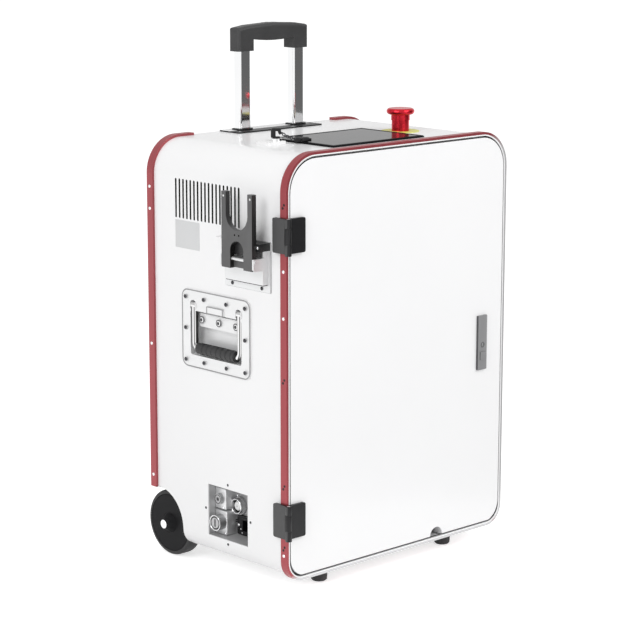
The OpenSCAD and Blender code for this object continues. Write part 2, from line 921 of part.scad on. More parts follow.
// The bracket: a raised channel on the plate with two ears for the fork's pin
module gun_rest_bracket() {
  ear_top = fork_z + ear_h;
  ear_root = tray_x - rest_t / 2;
  color(steel_c) place() difference() {
    union() {
      along_z(rest_z + tray_low, tray_top) translate([-tray_x, rest_y + tray_front]) difference() {
        square([tray_rise, tray_w]);
        translate([rest_t, rest_t]) square([tray_rise, tray_w - 2 * rest_t]);
      }
      for (side = [-1, 1]) translate([0, fork_y + side * (ear_y + ear_w / 2), 0])
        along_y(-ear_w / 2, ear_w / 2) polygon([[-ear_root, fork_z], [-ear_root, ear_top],
          [-out_x, ear_top], [-out_x, fork_z + ear_foot], [-out_x + ear_foot, fork_z]]);
    }
    translate([-fork_pin_x, 0, fork_pin_z]) bar_y(0, cab_d, fork_pin_r + fit);
  }
}
pin_head_r = 3;
pin_head_t = 1.5;
module gun_rest_pin() {
  reach = ear_y + ear_w;
  color(steel_c) place() translate([-fork_pin_x, fork_y, fork_pin_z]) {
    bar_y(-reach - over, reach + over, fork_pin_r);
    bar_y(-reach - pin_head_t, -reach, pin_head_r);
    bar_y(reach, reach + pin_head_t, pin_head_r);
  }
}

// The fork: two prongs over a U slot, two legs on the pin and a plate across their back
fork_notch_w = 29.5;
fork_notch_h = 41.7;
prong_hole_r = 1.8;
prong_hole_in = 4.5;
prong_hole_drop = 7;
clip_hole_r = 1.5;
clip_spread = 9.333;
slot_rise = 57.5;
back_plate_t = 1.5;
back_plate_low = 13.5;
back_plate_h = 17.5;
module gun_rest_fork() {
  slot_r = fork_slot_w / 2;
  slot_z = slot_rise + slot_r;
  color(black_c) place() translate([-fork_pin_x, fork_y, fork_z]) difference() {
    union() {
      along_x(-fork_t / 2, fork_t / 2) difference() {
        translate([-fork_w / 2, 0]) rounded(fork_w, fork_h, edge_r);
        translate([0, slot_z]) circle(slot_r);
        translate([-slot_r, slot_z]) square([fork_slot_w, fork_h]);
        translate([-fork_notch_w / 2, -over])
          square([fork_notch_w, fork_notch_h - fork_notch_w / 2 + over]);
        translate([0, fork_notch_h - fork_notch_w / 2]) circle(fork_notch_w / 2);
        for (side = [-1, 1]) {
          translate([side * (fork_w / 2 - prong_hole_in), fork_h - prong_hole_drop])
            circle(prong_hole_r);
          translate([side * clip_spread / 2, slot_rise - prong_hole_drop]) circle(clip_hole_r);
        }
      }
      translate([fork_t / 2 - over, -fork_w / 2, pin_rise - back_plate_low])
        cube([back_plate_t + over, fork_w, back_plate_h]);
    }
    translate([0, 0, pin_rise]) bar_y(-fork_w, fork_w, fork_pin_r + fit);
  }
}

// A handle dish: a riveted plate over a pressed tray, with two slotted ears for the bail
window_r = 4;
clamp_face = 8;
clamp_h = 21;
clamp_gap = 4;
ear_proud = 1;
latch_t = 2;
latch_w = 37;
latch_h = 11;
module handle_dish(side) {
  back_x = side_x + plate_t - dish_depth;
  half = window_half;
  top = pivot_z + eye_r;
  place() on_side(side) {
    difference() {
      union() {
        along_x(side_x, side_x + plate_t) translate([handle_y - handle_w / 2, handle_z])
          rounded(handle_w, handle_h, plate_r);
        along_x(back_x - dish_t, side_x) translate([handle_y - half - dish_t, window_z - dish_t])
          square([2 * (half + dish_t), top + 2 * dish_t - window_z]);
        along_x(side_x, side_x + plate_t + latch_t)
          translate([handle_y - latch_w / 2, window_top - over]) rounded(latch_w, latch_h, edge_r);
      }
      along_x(back_x, side_x) translate([handle_y - half, window_z])
        square([2 * half, top - window_z]);
      along_x(side_x - over, side_x + far_cut) {
        translate([handle_y - half, window_z]) rounded(2 * half, window_top - window_z, window_r);
        for (arm = [-1, 1]) translate([handle_y + arm * bail_span / 2, 0]) {
          translate([0, pivot_z]) circle(eye_r);
          translate([-bail_r - loose, window_top - eye_r])
            square([2 * (bail_r + loose), pivot_z - window_top + eye_r]);
        }
      }
    }
    clamp_half = bail_span / 2 - bail_r - over;
    along_x(back_x, side_x + plate_t - clamp_face)
      translate([handle_y - clamp_half, window_top - clamp_h - clamp_gap])
        square([2 * clamp_half, clamp_h]);
    for (arm = [-1, 1]) translate([0, handle_y + arm * bail_span / 2, pivot_z]) difference() {
      bar_x(back_x, side_x + plate_t + ear_proud, eye_r - gap);
      translate([bail_x - bail_r - loose, -bail_r - loose, -eye_r])
        cube([far_cut, 2 * (bail_r + loose), 2 * eye_r]);
      translate([bail_x, 0, 0]) bar_y(-eye_r, eye_r, pivot_r + fit);
    }
  }
}
module left_handle_dish() {
  color(steel_c) handle_dish(-1);
}
module right_handle_dish() {
  color(steel_c) handle_dish(1);
}

// Domed rivets round both handle plates
rivet_r = 3.2;
rivet_t = 1.2;
rivet_out_share = 0.44;
rivet_in_share = 0.167;
rivet_z_shares = [0.083, 0.5, 0.905];
module handle_rivets() {
  color(chrome_c) place() for (side = [-1, 1], row = [0:2], col = [-1, 1]) on_side(side) {
    z = handle_z + rivet_z_shares[row] * handle_h;
    y = handle_y + col * rivet_out_share * handle_w;
    translate([0, y, z]) bar_x(side_x + plate_t, side_x + plate_t + rivet_t, rivet_r);
    if (row != 1) {
      translate([0, handle_y + col * rivet_in_share * handle_w, z])
        bar_x(side_x + plate_t, side_x + plate_t + rivet_t, rivet_r);
    }
  }
}

// The bail: a bent bar with its pivot stubs
bail_bend_r = 9;
pivot_reach = 6.3;
module handle_bail(side) {
  half = bail_span / 2;
  bend = bail_bend_r;
  drop = pivot_z - bail_bar_z;
  place() translate([side * bail_x, handle_y, pivot_z]) {
    for (arm = [-1, 1]) {
      translate([0, arm * half, -drop + bend]) cylinder(h = drop - bend, r = bail_r);
      translate([0, arm * half, 0]) bar_y(-bail_r, bail_r, bail_r);
      translate([0, arm * half, 0]) bar_y(-pivot_reach, pivot_reach, pivot_r);
      translate([0, arm * (half - bend), -drop + bend]) rotate([0, 90, 0])
        rotate([0, 0, arm > 0 ? 0 : -90]) rotate_extrude(angle = 90) translate([bend, 0]) circle(bail_r);
    }
    translate([0, 0, -drop]) bar_y(-half + bend, half - bend, bail_r);
  }
}
module left_handle_bail() {
  color(chrome_c) handle_bail(-1);
}
module right_handle_bail() {
  color(chrome_c) handle_bail(1);
}

// The ribbed rubber sleeve on the bail's bar
grip_ribs = 7;
rib_w = 8;
rib_pitch = 11;
rib_h = 0.5;
module handle_grip(side) {
  half = bail_span / 2 - bail_bend_r;
  place() translate([side * bail_x, handle_y, bail_bar_z]) difference() {
    union() {
      bar_y(-half, half, bail_grip_r - rib_h);
      for (i = [0:grip_ribs - 1]) translate([0, (i - (grip_ribs - 1) / 2) * rib_pitch, 0])
        bar_y(-rib_w / 2, rib_w / 2, bail_grip_r);
    }
    bar_y(-half - over, half + over, bail_r);
  }
}
module left_handle_grip() {
  color(grip_c) handle_grip(-1);
}
module right_handle_grip() {
  color(grip_c) handle_grip(1);
}

// A wheel turns on its bolt, against a spacer on the well's inner wall
bolt_head_t = 2.5;
bolt_head_r = 7;
spacer_r = 9;
nut_r = 10;
nut_t = 7;
module wheel_bolts() {
  out = wheel_w / 2;
  color(chrome_c) place() for (side = [-1, 1]) on_side(side)
    translate([wheel_x, wheel_y, wheel_z]) {
      bar_x(-(wheel_x - well_x) - well_t - nut_t, out + hub_boss + gap + over, axle_r);
      bar_x(out + hub_boss + gap, out + hub_boss + gap + bolt_head_t, bolt_head_r);
      bar_x(-(wheel_x - well_x), -out - gap, spacer_r);
      bar_x(-(wheel_x - well_x) - well_t - nut_t, -(wheel_x - well_x) - well_t, nut_r, $fn = 6);
    }
}
hub_boss = 11;
hub_boss_r = 9.5;
hub_boss_base_r = 16;
hub_rim = 2.5;
hub_dish = 5;
module wheel_hub(side) {
  r = hub_rim_share * wheel_r;
  half = wheel_w / 2;
  place() on_side(side) translate([wheel_x, wheel_y, wheel_z]) rotate([0, 90, 0]) rotate_extrude()
    polygon([[axle_r + fit, -half], [hub_boss_base_r, -half], [r / 2, -half + hub_dish],
      [r - hub_rim, -half + hub_dish], [r, -half + edge_r], [r, half - edge_r],
      [r - hub_rim, half], [hub_boss_base_r, half], [hub_boss_r, half + hub_boss - edge_r],
      [hub_boss_r - edge_r, half + hub_boss], [axle_r + fit, half + hub_boss]]);
}
module left_wheel_hub() {
  color(grip_c) wheel_hub(-1);
}
module right_wheel_hub() {
  color(grip_c) wheel_hub(1);
}
tyre_edge_share = 0.67;
module wheel_tyre(side) {
  rim = hub_rim_share * wheel_r;
  half = wheel_w / 2;
  edge = tyre_edge_share * (wheel_r - rim);
  place() on_side(side) translate([wheel_x, wheel_y, wheel_z]) rotate([0, 90, 0]) rotate_extrude()
    intersection() {
      union() {
        translate([rim, -half + edge]) square([wheel_r - rim, wheel_w - 2 * edge]);
        translate([rim, -half]) square([wheel_r - rim - edge, wheel_w]);
        for (s = [-1, 1]) translate([wheel_r - edge, s * (half - edge)]) circle(edge, $fn = 24);
      }
      translate([rim, -wheel_w]) square([wheel_r, 2 * wheel_w]);
    }
}
module left_wheel_tyre() {
  color(black_c) wheel_tyre(-1);
}
module right_wheel_tyre() {
  color(black_c) wheel_tyre(1);
}

// Two rubber feet, each with its screw recess
foot_edge = 2;
foot_bore_r = 5;
module front_feet() {
  h = ground_gap + shell_in;
  color(black_c) place() for (side = [-1, 1]) translate([side * foot_x, foot_y, -ground_gap])
    rotate_extrude() polygon([[foot_bore_r, 0], [foot_r - 2 * foot_edge, 0],
      [foot_r - foot_edge, foot_edge], [foot_r, h], [0, h], [0, h / 2], [foot_bore_r, h / 2]]);
}

// The trolley handle's base plate, guides, tubes and grip
tube_corner_r = 4;
boss_w = 4;
boss_h = 2;
module tube_places() {
  for (side = [-1, 1]) translate([side * tube_span / 2, tube_y, 0]) children();
}
module trolley_base() {
  color(black_c) place() difference() {
    union() {
      translate([-base_w / 2, cab_d - base_d, 0]) along_z(top_z, top_z + base_t)
        rounded(base_w, base_d, tube_corner_r);
      tube_places() along_z(top_z + base_t, top_z + base_t + boss_h)
        rounded_mid(tube_w + 2 * boss_w, tube_d + 2 * boss_w, tube_corner_r + boss_w);
    }
    tube_places() along_z(top_z - over, top_z + far_cut)
      rounded_mid(tube_w + 2 * guide_gap, tube_d + 2 * guide_gap, tube_corner_r + guide_gap);
  }
}
module trolley_guides() {
  inner = guide_gap;
  outer = guide_gap + guide_wall;
  color(grey_c) place() tube_places() difference() {
    along_z(guide_low_z, roof_z) rounded_mid(tube_w + 2 * outer, tube_d + 2 * outer, tube_corner_r + outer);
    along_z(guide_low_z + over, roof_z + over)
      rounded_mid(tube_w + 2 * inner, tube_d + 2 * inner, tube_corner_r + inner);
  }
}
tube_socket = 12;
module trolley_tubes() {
  color(chrome_c) place() tube_places() along_z(tube_low_z, grip_z + tube_socket) difference() {
    rounded_mid(tube_w, tube_d, tube_corner_r);
    rounded_mid(tube_w - 2 * tube_wall, tube_d - 2 * tube_wall, tube_corner_r - tube_wall);
  }
}

// The grip: an arched bar with round shoulders and a crowned underside between two legs
grip_leg = 32.5;
grip_sag = 5.5;
grip_shoulder_r = 9;
grip_edge_r = 6;
grip_belly = 3;
grip_bar_h = 25;
module trolley_grip() {
  half = grip_w / 2;
  arch = (half * half + grip_sag * grip_sag) / (2 * grip_sag);
  inner = half - grip_leg;
  belly = (inner * inner + grip_belly * grip_belly) / (2 * grip_belly);
  depth = grip_h + grip_sag + 2 * grip_edge_r;
  window_h = grip_h - grip_bar_h;
  shoulder = half - grip_shoulder_r;
  shoulder_z = grip_h - arch + sqrt(arch * arch - shoulder * shoulder) - grip_shoulder_r;
  color(black_c) place() translate([0, tube_y, grip_z]) difference() {
    intersection() {
      translate([0, 0, grip_h - arch]) rotate([90, 0, 0]) rotate_extrude() {
        translate([arch - depth, -grip_d / 2]) square([depth - grip_edge_r, grip_d]);
        translate([arch - depth, -grip_d / 2 + grip_edge_r]) square([depth, grip_d - 2 * grip_edge_r]);
        for (s = [-1, 1]) translate([arch - grip_edge_r, s * (grip_d / 2 - grip_edge_r)])
          circle(grip_edge_r, $fn = 32);
      }
      along_z(0, grip_h + over) rounded_mid(grip_w, grip_d, grip_edge_r);
    }
    along_y(-grip_d, grip_d) difference() {
      translate([-inner, -over]) square([2 * inner, window_h + over]);
      translate([0, window_h - grip_belly + belly]) circle(belly, $fn = 128);
    }
    for (side = [-1, 1]) {
      translate([side * tube_span / 2, 0, 0]) along_z(-over, tube_socket)
        rounded_mid(tube_w, tube_d, tube_corner_r);
      on_side(side) along_y(-grip_d, grip_d) translate([shoulder, shoulder_z]) difference() {
        square([grip_d, grip_d]);
        circle(grip_shoulder_r);
      }
    }
    translate([0, 0, grip_h - button_deep]) along_z(0, grip_h)
      rounded_mid(button_w + 2 * gap, button_d + 2 * gap, button_d / 2);
  }
}
button_w = 30;
button_d = 11;
button_deep = 6;
button_travel = 3;
module trolley_button() {
  color(grip_c) place() translate([0, tube_y, grip_z + grip_h - button_deep])
    along_z(button_travel + gap, button_deep - gap) rounded_mid(button_w, button_d, button_d / 2 - gap);
}

// The touch screen: a bevelled frame with its back box, and the glass
module screen_bezel() {
  lip = 1.5;
  color(black_c) place() translate([-screen_x, screen_mid_y, 0]) difference() {
    union() {
      along_z(top_z, top_z + screen_t - edge_r) rounded_mid(screen_w, screen_d, edge_r);
      along_z(top_z + screen_t - edge_r, top_z + screen_t)
        rounded_mid(screen_w - 2 * edge_r, screen_d - 2 * edge_r, edge_r);
      along_z(roof_z - screen_back_h, top_z) square([screen_back_w, screen_back_d], center = true);
    }
    along_z(top_z + screen_t - glass_t, top_z + screen_t + over)
      square([screen_w - 2 * screen_rim, screen_d - 2 * screen_rim], center = true);
    along_z(roof_z - screen_back_h + lip, top_z + over)
      square([screen_back_w - 2 * lip, screen_back_d - 2 * lip], center = true);
  }
}
module screen_glass() {
  color([0.3, 0.3, 0.31]) place() translate([-screen_x, screen_mid_y, 0])
    along_z(top_z + screen_t - glass_t, top_z + screen_t - gap)
      square([screen_w - 2 * screen_rim - 2 * gap, screen_d - 2 * screen_rim - 2 * gap], center = true);
}

// The emergency stop: a legend ring, a threaded collar and the mushroom head
legend_t = 0.8;
estop_hole_r = 11;
estop_block_w = 28;
collar_h = 22;
estop_neck_r = 8;
sleeve_t = 1;
estop_block_h = 38;
module estop_legend() {
  color(yellow_c) place() translate([estop_x, estop_y, top_z]) difference() {
    cylinder(h = legend_t, r = estop_ring_r);
    translate([0, 0, -over]) cylinder(h = far_cut, r = estop_hole_r);
  }
}
module estop_collar() {
  low = skin_t + estop_block_h;
  color(red_c) place() translate([estop_x, estop_y, top_z]) difference() {
    union() {
      translate([0, 0, legend_t]) cylinder(h = collar_h - legend_t, r = collar_r);
      translate([0, 0, -low]) cylinder(h = low + over, r = estop_hole_r - fit);
      along_z(-low, -low + estop_block_h - over) square(estop_block_w, center = true);
    }
    translate([0, 0, -low / 2]) cylinder(h = far_cut + low, r = estop_neck_r + fit);
  }
}
module estop_head() {
  cap_z = collar_h + estop_travel + sleeve_t;
  cap_h = estop_h - cap_z;
  edge = cap_h / 2 - fit;
  color(red_c) place() translate([estop_x, estop_y, top_z]) rotate_extrude() {
    difference() {
      union() {
        translate([0, collar_h - estop_travel])
          square([collar_r + sleeve_t, 2 * estop_travel + sleeve_t + over]);
        translate([0, cap_z]) square([estop_head_r - edge, cap_h]);
        translate([0, cap_z + edge]) square([estop_head_r, 2 * fit]);
        translate([estop_head_r - edge, cap_z + edge]) circle(edge, $fn = 32);
        translate([estop_head_r - edge, cap_z + edge + 2 * fit]) circle(edge, $fn = 32);
      }
      translate([0, collar_h - 2 * estop_travel]) square([collar_r + 2 * fit, 3 * estop_travel + loose]);
      translate([-far_cut, -far_cut]) square([far_cut, 3 * far_cut]);
    }
    square([estop_neck_r, cap_z + over]);
  }
}

// The key switch: a white base, a metal collar and the key with its ring and spare
key_neck_r = 8;
key_base_r = 2;
key_collar_r = 9;
key_collar_h = 4;
key_shank_r = 3;
key_body_h = 34;
module key_place() {
  translate([key_shift_x - key_x, key_y - key_shift_y, 0]) children();
}
module key_base() {
  color(white_c) place() difference() {
    translate([-key_x, key_y, 0]) along_z(top_z, top_z + key_base_t)
      rounded_mid(key_w, key_d, key_base_r);
    key_place() translate([0, 0, top_z - over])
      cylinder(h = key_base_t + 2 * over, r = key_neck_r + fit);
  }
}
module key_bezel() {
  color(chrome_c) place() key_place() translate([0, 0, top_z]) difference() {
    union() {
      translate([0, 0, key_base_t]) cylinder(h = key_collar_h, r = key_collar_r);
      translate([0, 0, -key_body_h]) cylinder(h = key_body_h + key_base_t + over, r = key_neck_r);
    }
    translate([0, 0, -key_body_h / 2]) cylinder(h = key_body_h + far_cut, r = key_shank_r + fit);
  }
}
bow_w = 12;
bow_h = 16;
bow_t = 3;
bow_hole_r = 2;
ring_r = 11;
wire_r = 0.9;
spare_bow_w = 16;
spare_bow_len = 15;
spare_t = 4;
spare_len = 24;
blade_w = 9;
blade_t = 3.5;
key_angle = -35;
module switch_key() {
  bow_z = key_base_t + key_collar_h + gap;
  hole_z = bow_z + bow_h - bow_t;
  spare_z = key_base_t + 2 * gap;
  ring_tilt = asin((hole_z - spare_z - spare_t / 2) / (2 * ring_r));
  far_x = 2 * ring_r * cos(ring_tilt);
  color(black_c) place() key_place() translate([0, 0, top_z]) rotate([0, 0, key_angle]) {
    translate([0, 0, -key_body_h / 4]) cylinder(h = key_body_h / 4 + bow_z + over, r = key_shank_r);
    difference() {
      translate([0, 0, bow_z]) along_y(-bow_t / 2, bow_t / 2)
        translate([-bow_w / 2, 0]) rounded(bow_w, bow_h, bow_t);
      translate([0, 0, hole_z]) bar_y(-bow_t, bow_t, bow_hole_r);
    }
    translate([0, 0, hole_z + bow_hole_r - wire_r / 2]) rotate([0, ring_tilt, 0])
      translate([ring_r, 0, 0]) rotate_extrude() translate([ring_r, 0]) circle(wire_r, $fn = 16);
    translate([far_x - bow_t, 0, spare_z]) {
      along_z(0, spare_t) translate([0, -spare_bow_w / 2]) rounded(spare_bow_len, spare_bow_w, bow_t);
      along_z(0, blade_t) translate([over, -blade_w / 2])
        square([spare_bow_len + spare_len - over, blade_w]);
    }
  }
}

// The laser source: a finned housing on four pads
source_w = 280;
source_h_share = 0.323;
source_h = source_h_share * cab_h;
source_room = 4;
source_back = 43;
source_y = partition_y + partition_t + source_room;
source_d = back_y - source_back - source_y;
pad_h = 8;
fin_h = 14;
fin_t = 3;
fin_pitch = 12;
module laser_source() {
  fins = floor((source_w - fin_t) / fin_pitch);
  color(grey_c) place() translate([-source_w / 2, source_y, floor_z]) {
    translate([0, 0, pad_h]) cube([source_w, source_d, source_h]);
    for (i = [0:fins]) translate([i * fin_pitch, 0, pad_h + source_h])
      cube([fin_t, source_d, fin_h]);
    for (x = [0, source_w - 2 * pad_h], y = [0, source_d - 2 * pad_h]) translate([x, y, 0])
      cube([2 * pad_h, 2 * pad_h, pad_h]);
  }
}

// The power supply on the partition, with a slotted cover
supply_w = 215;
supply_d = 50;
supply_h = 115;
supply_drop = 320;
supply_z = cab_h - supply_drop;
module power_supply() {
  slots = 12;
  color(steel_c) place() translate([-supply_w / 2, partition_y + partition_t, supply_z]) difference() {
    cube([supply_w, supply_d, supply_h]);
    for (i = [1:slots]) translate([i * supply_w / (slots + 1), supply_d - skin_t, supply_h / 4])
      cube([fin_t, 2 * skin_t, supply_h / 2]);
  }
}

// The cooling fan behind the right vent: frame with struts, and the bladed rotor
fan_room = 8;
fan_y = partition_y + partition_t + fan_size / 2 + fan_room;
fan_z = cab_h - corner_top_r - fan_size / 2;
fan_hub_r = 12;
fan_bore_r = 28;
fan_pin_r = 3;
fan_corner_r = 4;
strut_w = 4;
blade_pitch = 40;
fan_blades = 7;
fan_back_t = 4;
module fan_frame() {
  color(black_c) place() translate([inside_x - fan_t, fan_y, fan_z]) {
    difference() {
      along_x(0, fan_t) rounded_mid(fan_size, fan_size, fan_corner_r);
      bar_x(-over, fan_t + over, fan_bore_r);
    }
    bar_x(0, fan_back_t, fan_hub_r);
    for (a = [0, 120, 240]) rotate([a, 0, 0]) translate([0, -strut_w / 2, 0])
      cube([fan_back_t, strut_w, fan_bore_r + over]);
    bar_x(0, fan_t / 2, fan_pin_r);
  }
}
module fan_rotor() {
  width = fan_t - fan_back_t - over - 2 * gap;
  blade = fan_bore_r - fan_hub_r - over;
  color(grip_c) place() translate([inside_x - fan_t + fan_back_t + over, fan_y, fan_z]) difference() {
    union() {
      bar_x(0, width, fan_hub_r);
      for (i = [0:fan_blades - 1]) rotate([i * 360 / fan_blades, 0, 0])
        translate([width / 2, 0, fan_hub_r - over]) rotate([0, 0, blade_pitch])
          translate([-width / 2, -over / 2, 0]) cube([width, over, blade]);
    }
    bar_x(-over, fan_t / 2 - fan_back_t, fan_pin_r + fit);
  }
}

body_shell();
door_stop();
front_trim();
rear_trim_left();
rear_trim_right();
back_panel();
partition();
wheel_wells();
upper_hinge_fixed_leaf();
lower_hinge_fixed_leaf();
hinge_pins();
connector_box();
fibre_socket();
signal_socket();
gas_fitting();
socket_nuts();
power_inlet();
gun_rest_plate();
gun_rest_top_bar();
gun_rest_bracket();
gun_rest_pin();
gun_rest_fork();
left_handle_dish();
right_handle_dish();
handle_rivets();
left_handle_bail();
right_handle_bail();
left_handle_grip();
right_handle_grip();
door_panel();
door_stiffener();
door_seal();
upper_hinge_door_leaf();
lower_hinge_door_leaf();
lock_plate();
lock_button();
lock_cylinder();
wheel_bolts();
left_wheel_hub();
left_wheel_tyre();
right_wheel_hub();
right_wheel_tyre();
front_feet();
trolley_base();
trolley_guides();
trolley_tubes();
trolley_grip();
trolley_button();
screen_bezel();
screen_glass();
estop_legend();
estop_collar();
estop_head();
key_base();
key_bezel();
switch_key();
laser_source();
power_supply();
fan_frame();
fan_rotor();
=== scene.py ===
"""Looks of the trolley-case laser cleaning machine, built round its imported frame."""
import json
import math

import bmesh
import bpy
from mathutils import Matrix, Vector


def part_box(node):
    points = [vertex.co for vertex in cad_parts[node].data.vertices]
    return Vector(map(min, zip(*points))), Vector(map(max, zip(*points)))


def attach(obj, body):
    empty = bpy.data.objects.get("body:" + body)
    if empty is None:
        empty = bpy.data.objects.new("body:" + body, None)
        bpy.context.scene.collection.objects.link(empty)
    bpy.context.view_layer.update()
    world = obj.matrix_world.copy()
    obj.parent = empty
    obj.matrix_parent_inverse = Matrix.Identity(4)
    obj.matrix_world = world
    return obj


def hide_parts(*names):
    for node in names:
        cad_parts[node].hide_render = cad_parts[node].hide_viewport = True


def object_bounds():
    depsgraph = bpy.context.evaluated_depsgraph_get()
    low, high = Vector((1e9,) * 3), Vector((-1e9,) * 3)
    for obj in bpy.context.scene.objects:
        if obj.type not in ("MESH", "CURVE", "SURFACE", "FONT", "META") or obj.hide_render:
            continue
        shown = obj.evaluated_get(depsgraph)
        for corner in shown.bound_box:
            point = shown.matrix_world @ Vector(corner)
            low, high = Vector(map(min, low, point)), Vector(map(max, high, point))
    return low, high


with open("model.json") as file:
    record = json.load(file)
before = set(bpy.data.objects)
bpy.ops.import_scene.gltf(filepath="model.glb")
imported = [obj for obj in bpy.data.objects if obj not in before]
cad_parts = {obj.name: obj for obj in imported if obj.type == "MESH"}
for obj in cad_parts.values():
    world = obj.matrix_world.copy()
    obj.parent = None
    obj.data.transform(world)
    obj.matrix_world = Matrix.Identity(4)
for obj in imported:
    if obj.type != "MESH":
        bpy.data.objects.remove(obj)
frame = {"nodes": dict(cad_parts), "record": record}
cad_low, cad_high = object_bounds()
nodes = frame["nodes"]
MM = 0.001

# The cabinet's own frame: X from its middle, Y from the front edge, Z from the lower edge
trim_low, trim_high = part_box("front_trim")
cab_w = trim_high.x - trim_low.x
cab_h = trim_high.z - trim_low.z
cab_origin = Vector(((trim_low.x + trim_high.x) / 2, trim_low.y, trim_low.z))


def at(x, y, z):
    """A point of the cabinet's frame, in millimetres, as a point of the row frame in metres."""
    return cab_origin + Vector((x, y, z)) * MM


# Camera

PHOTO_PX = 640
FOCAL_PX = 2205.16
SENSOR_MM = 36
CAM_YAW = math.radians(43.63)
CAM_DOWN = math.radians(11.54)
CAM_ROLL = math.radians(0.077)
CAM_PLACE = (-2394.9, -2331.8, 1055.0)


def make_camera():
    data = bpy.data.cameras.new("photo_camera")
    data.sensor_width = SENSOR_MM
    data.lens = FOCAL_PX * SENSOR_MM / PHOTO_PX
    data.clip_end = 100
    camera = bpy.data.objects.new("photo_camera", data)
    bpy.context.scene.collection.objects.link(camera)
    ahead = Vector((math.sin(CAM_YAW) * math.cos(CAM_DOWN), math.cos(CAM_YAW) * math.cos(CAM_DOWN),
                    -math.sin(CAM_DOWN)))
    level = Vector((math.cos(CAM_YAW), -math.sin(CAM_YAW), 0))
    right = level * math.cos(CAM_ROLL) + level.cross(ahead) * math.sin(CAM_ROLL)
    up = right.cross(ahead)
    turn = Matrix((right, up, -ahead)).transposed()
    camera.matrix_world = Matrix.Translation(at(*CAM_PLACE)) @ turn.to_4x4()
    bpy.context.scene.camera = camera


# Materials

NOISE_SPAN = (0.3, 0.7)
TINT_SPAN = (0.35, 0.65)
MIN_ROUGH = 0.02
BUMP_STRENGTH = 0.3
COAT_ROUGH = 0.12


def shader_of(tree):
    return next(n for n in tree.nodes if n.type == "BSDF_PRINCIPLED")


def tree_of(name):
    mat = bpy.data.materials.new(name)
    mat.use_nodes = True
    tree = mat.node_tree
    coords = tree.nodes.new("ShaderNodeTexCoord")
    return mat, tree, shader_of(tree), coords.outputs["Object"]


def noise_of(tree, coords, scale, detail=3, stretch=(1, 1, 1)):
    mapping = tree.nodes.new("ShaderNodeMapping")
    mapping.inputs["Scale"].default_value = stretch
    noise = tree.nodes.new("ShaderNodeTexNoise")
    noise.inputs["Scale"].default_value = scale
    noise.inputs["Detail"].default_value = detail
    tree.links.new(coords, mapping.inputs["Vector"])
    tree.links.new(mapping.outputs["Vector"], noise.inputs["Vector"])
    return noise.outputs["Fac"]


def spread_of(tree, fac, low, high):
    spread = tree.nodes.new("ShaderNodeMapRange")
    spread.inputs["From Min"].default_value = NOISE_SPAN[0]
    spread.inputs["From Max"].default_value = NOISE_SPAN[1]
    spread.inputs["To Min"].default_value = low
    spread.inputs["To Max"].default_value = high
    tree.links.new(fac, spread.inputs["Value"])
    return spread.outputs["Result"]


def tint_of(tree, fac, dark, light):
    ramp = tree.nodes.new("ShaderNodeValToRGB")
    ramp.color_ramp.elements[0].position = TINT_SPAN[0]
    ramp.color_ramp.elements[0].color = (*dark, 1)
    ramp.color_ramp.elements[1].position = TINT_SPAN[1]
    ramp.color_ramp.elements[1].color = (*light, 1)
    tree.links.new(fac, ramp.inputs["Fac"])
    return ramp.outputs["Color"]


def scaled(colour, share):
    return tuple(min(1, c * share) for c in colour)


def surface(name, colour, rough, metal=0, vary=0.04, vary_scale=14, rough_vary=0.05,
            grain=900, grain_depth=0.02, stretch=(1, 1, 1), coat=0, specular=0.5):
    """A procedural finish: a slightly uneven colour and gloss, and a fine grain in the surface."""
    mat, tree, shader, coords = tree_of(name)
    patches = noise_of(tree, coords, vary_scale, 4, stretch)
    fine = noise_of(tree, coords, grain, 2, stretch)
    tree.links.new(tint_of(tree, patches, scaled(colour, 1 - vary), scaled(colour, 1 + vary)),
                   shader.inputs["Base Color"])
    tree.links.new(spread_of(tree, fine, max(MIN_ROUGH, rough - rough_vary), rough + rough_vary),
                   shader.inputs["Roughness"])
    bump = tree.nodes.new("ShaderNodeBump")
    bump.inputs["Strength"].default_value = BUMP_STRENGTH
    bump.inputs["Distance"].default_value = grain_depth * MM
    tree.links.new(fine, bump.inputs["Height"])
    tree.links.new(bump.outputs["Normal"], shader.inputs["Normal"])
    shader.inputs["Metallic"].default_value = metal
    shader.inputs["Coat Weight"].default_value = coat
    shader.inputs["Coat Roughness"].default_value = COAT_ROUGH
    shader.inputs["Specular IOR Level"].default_value = specular
    return mat


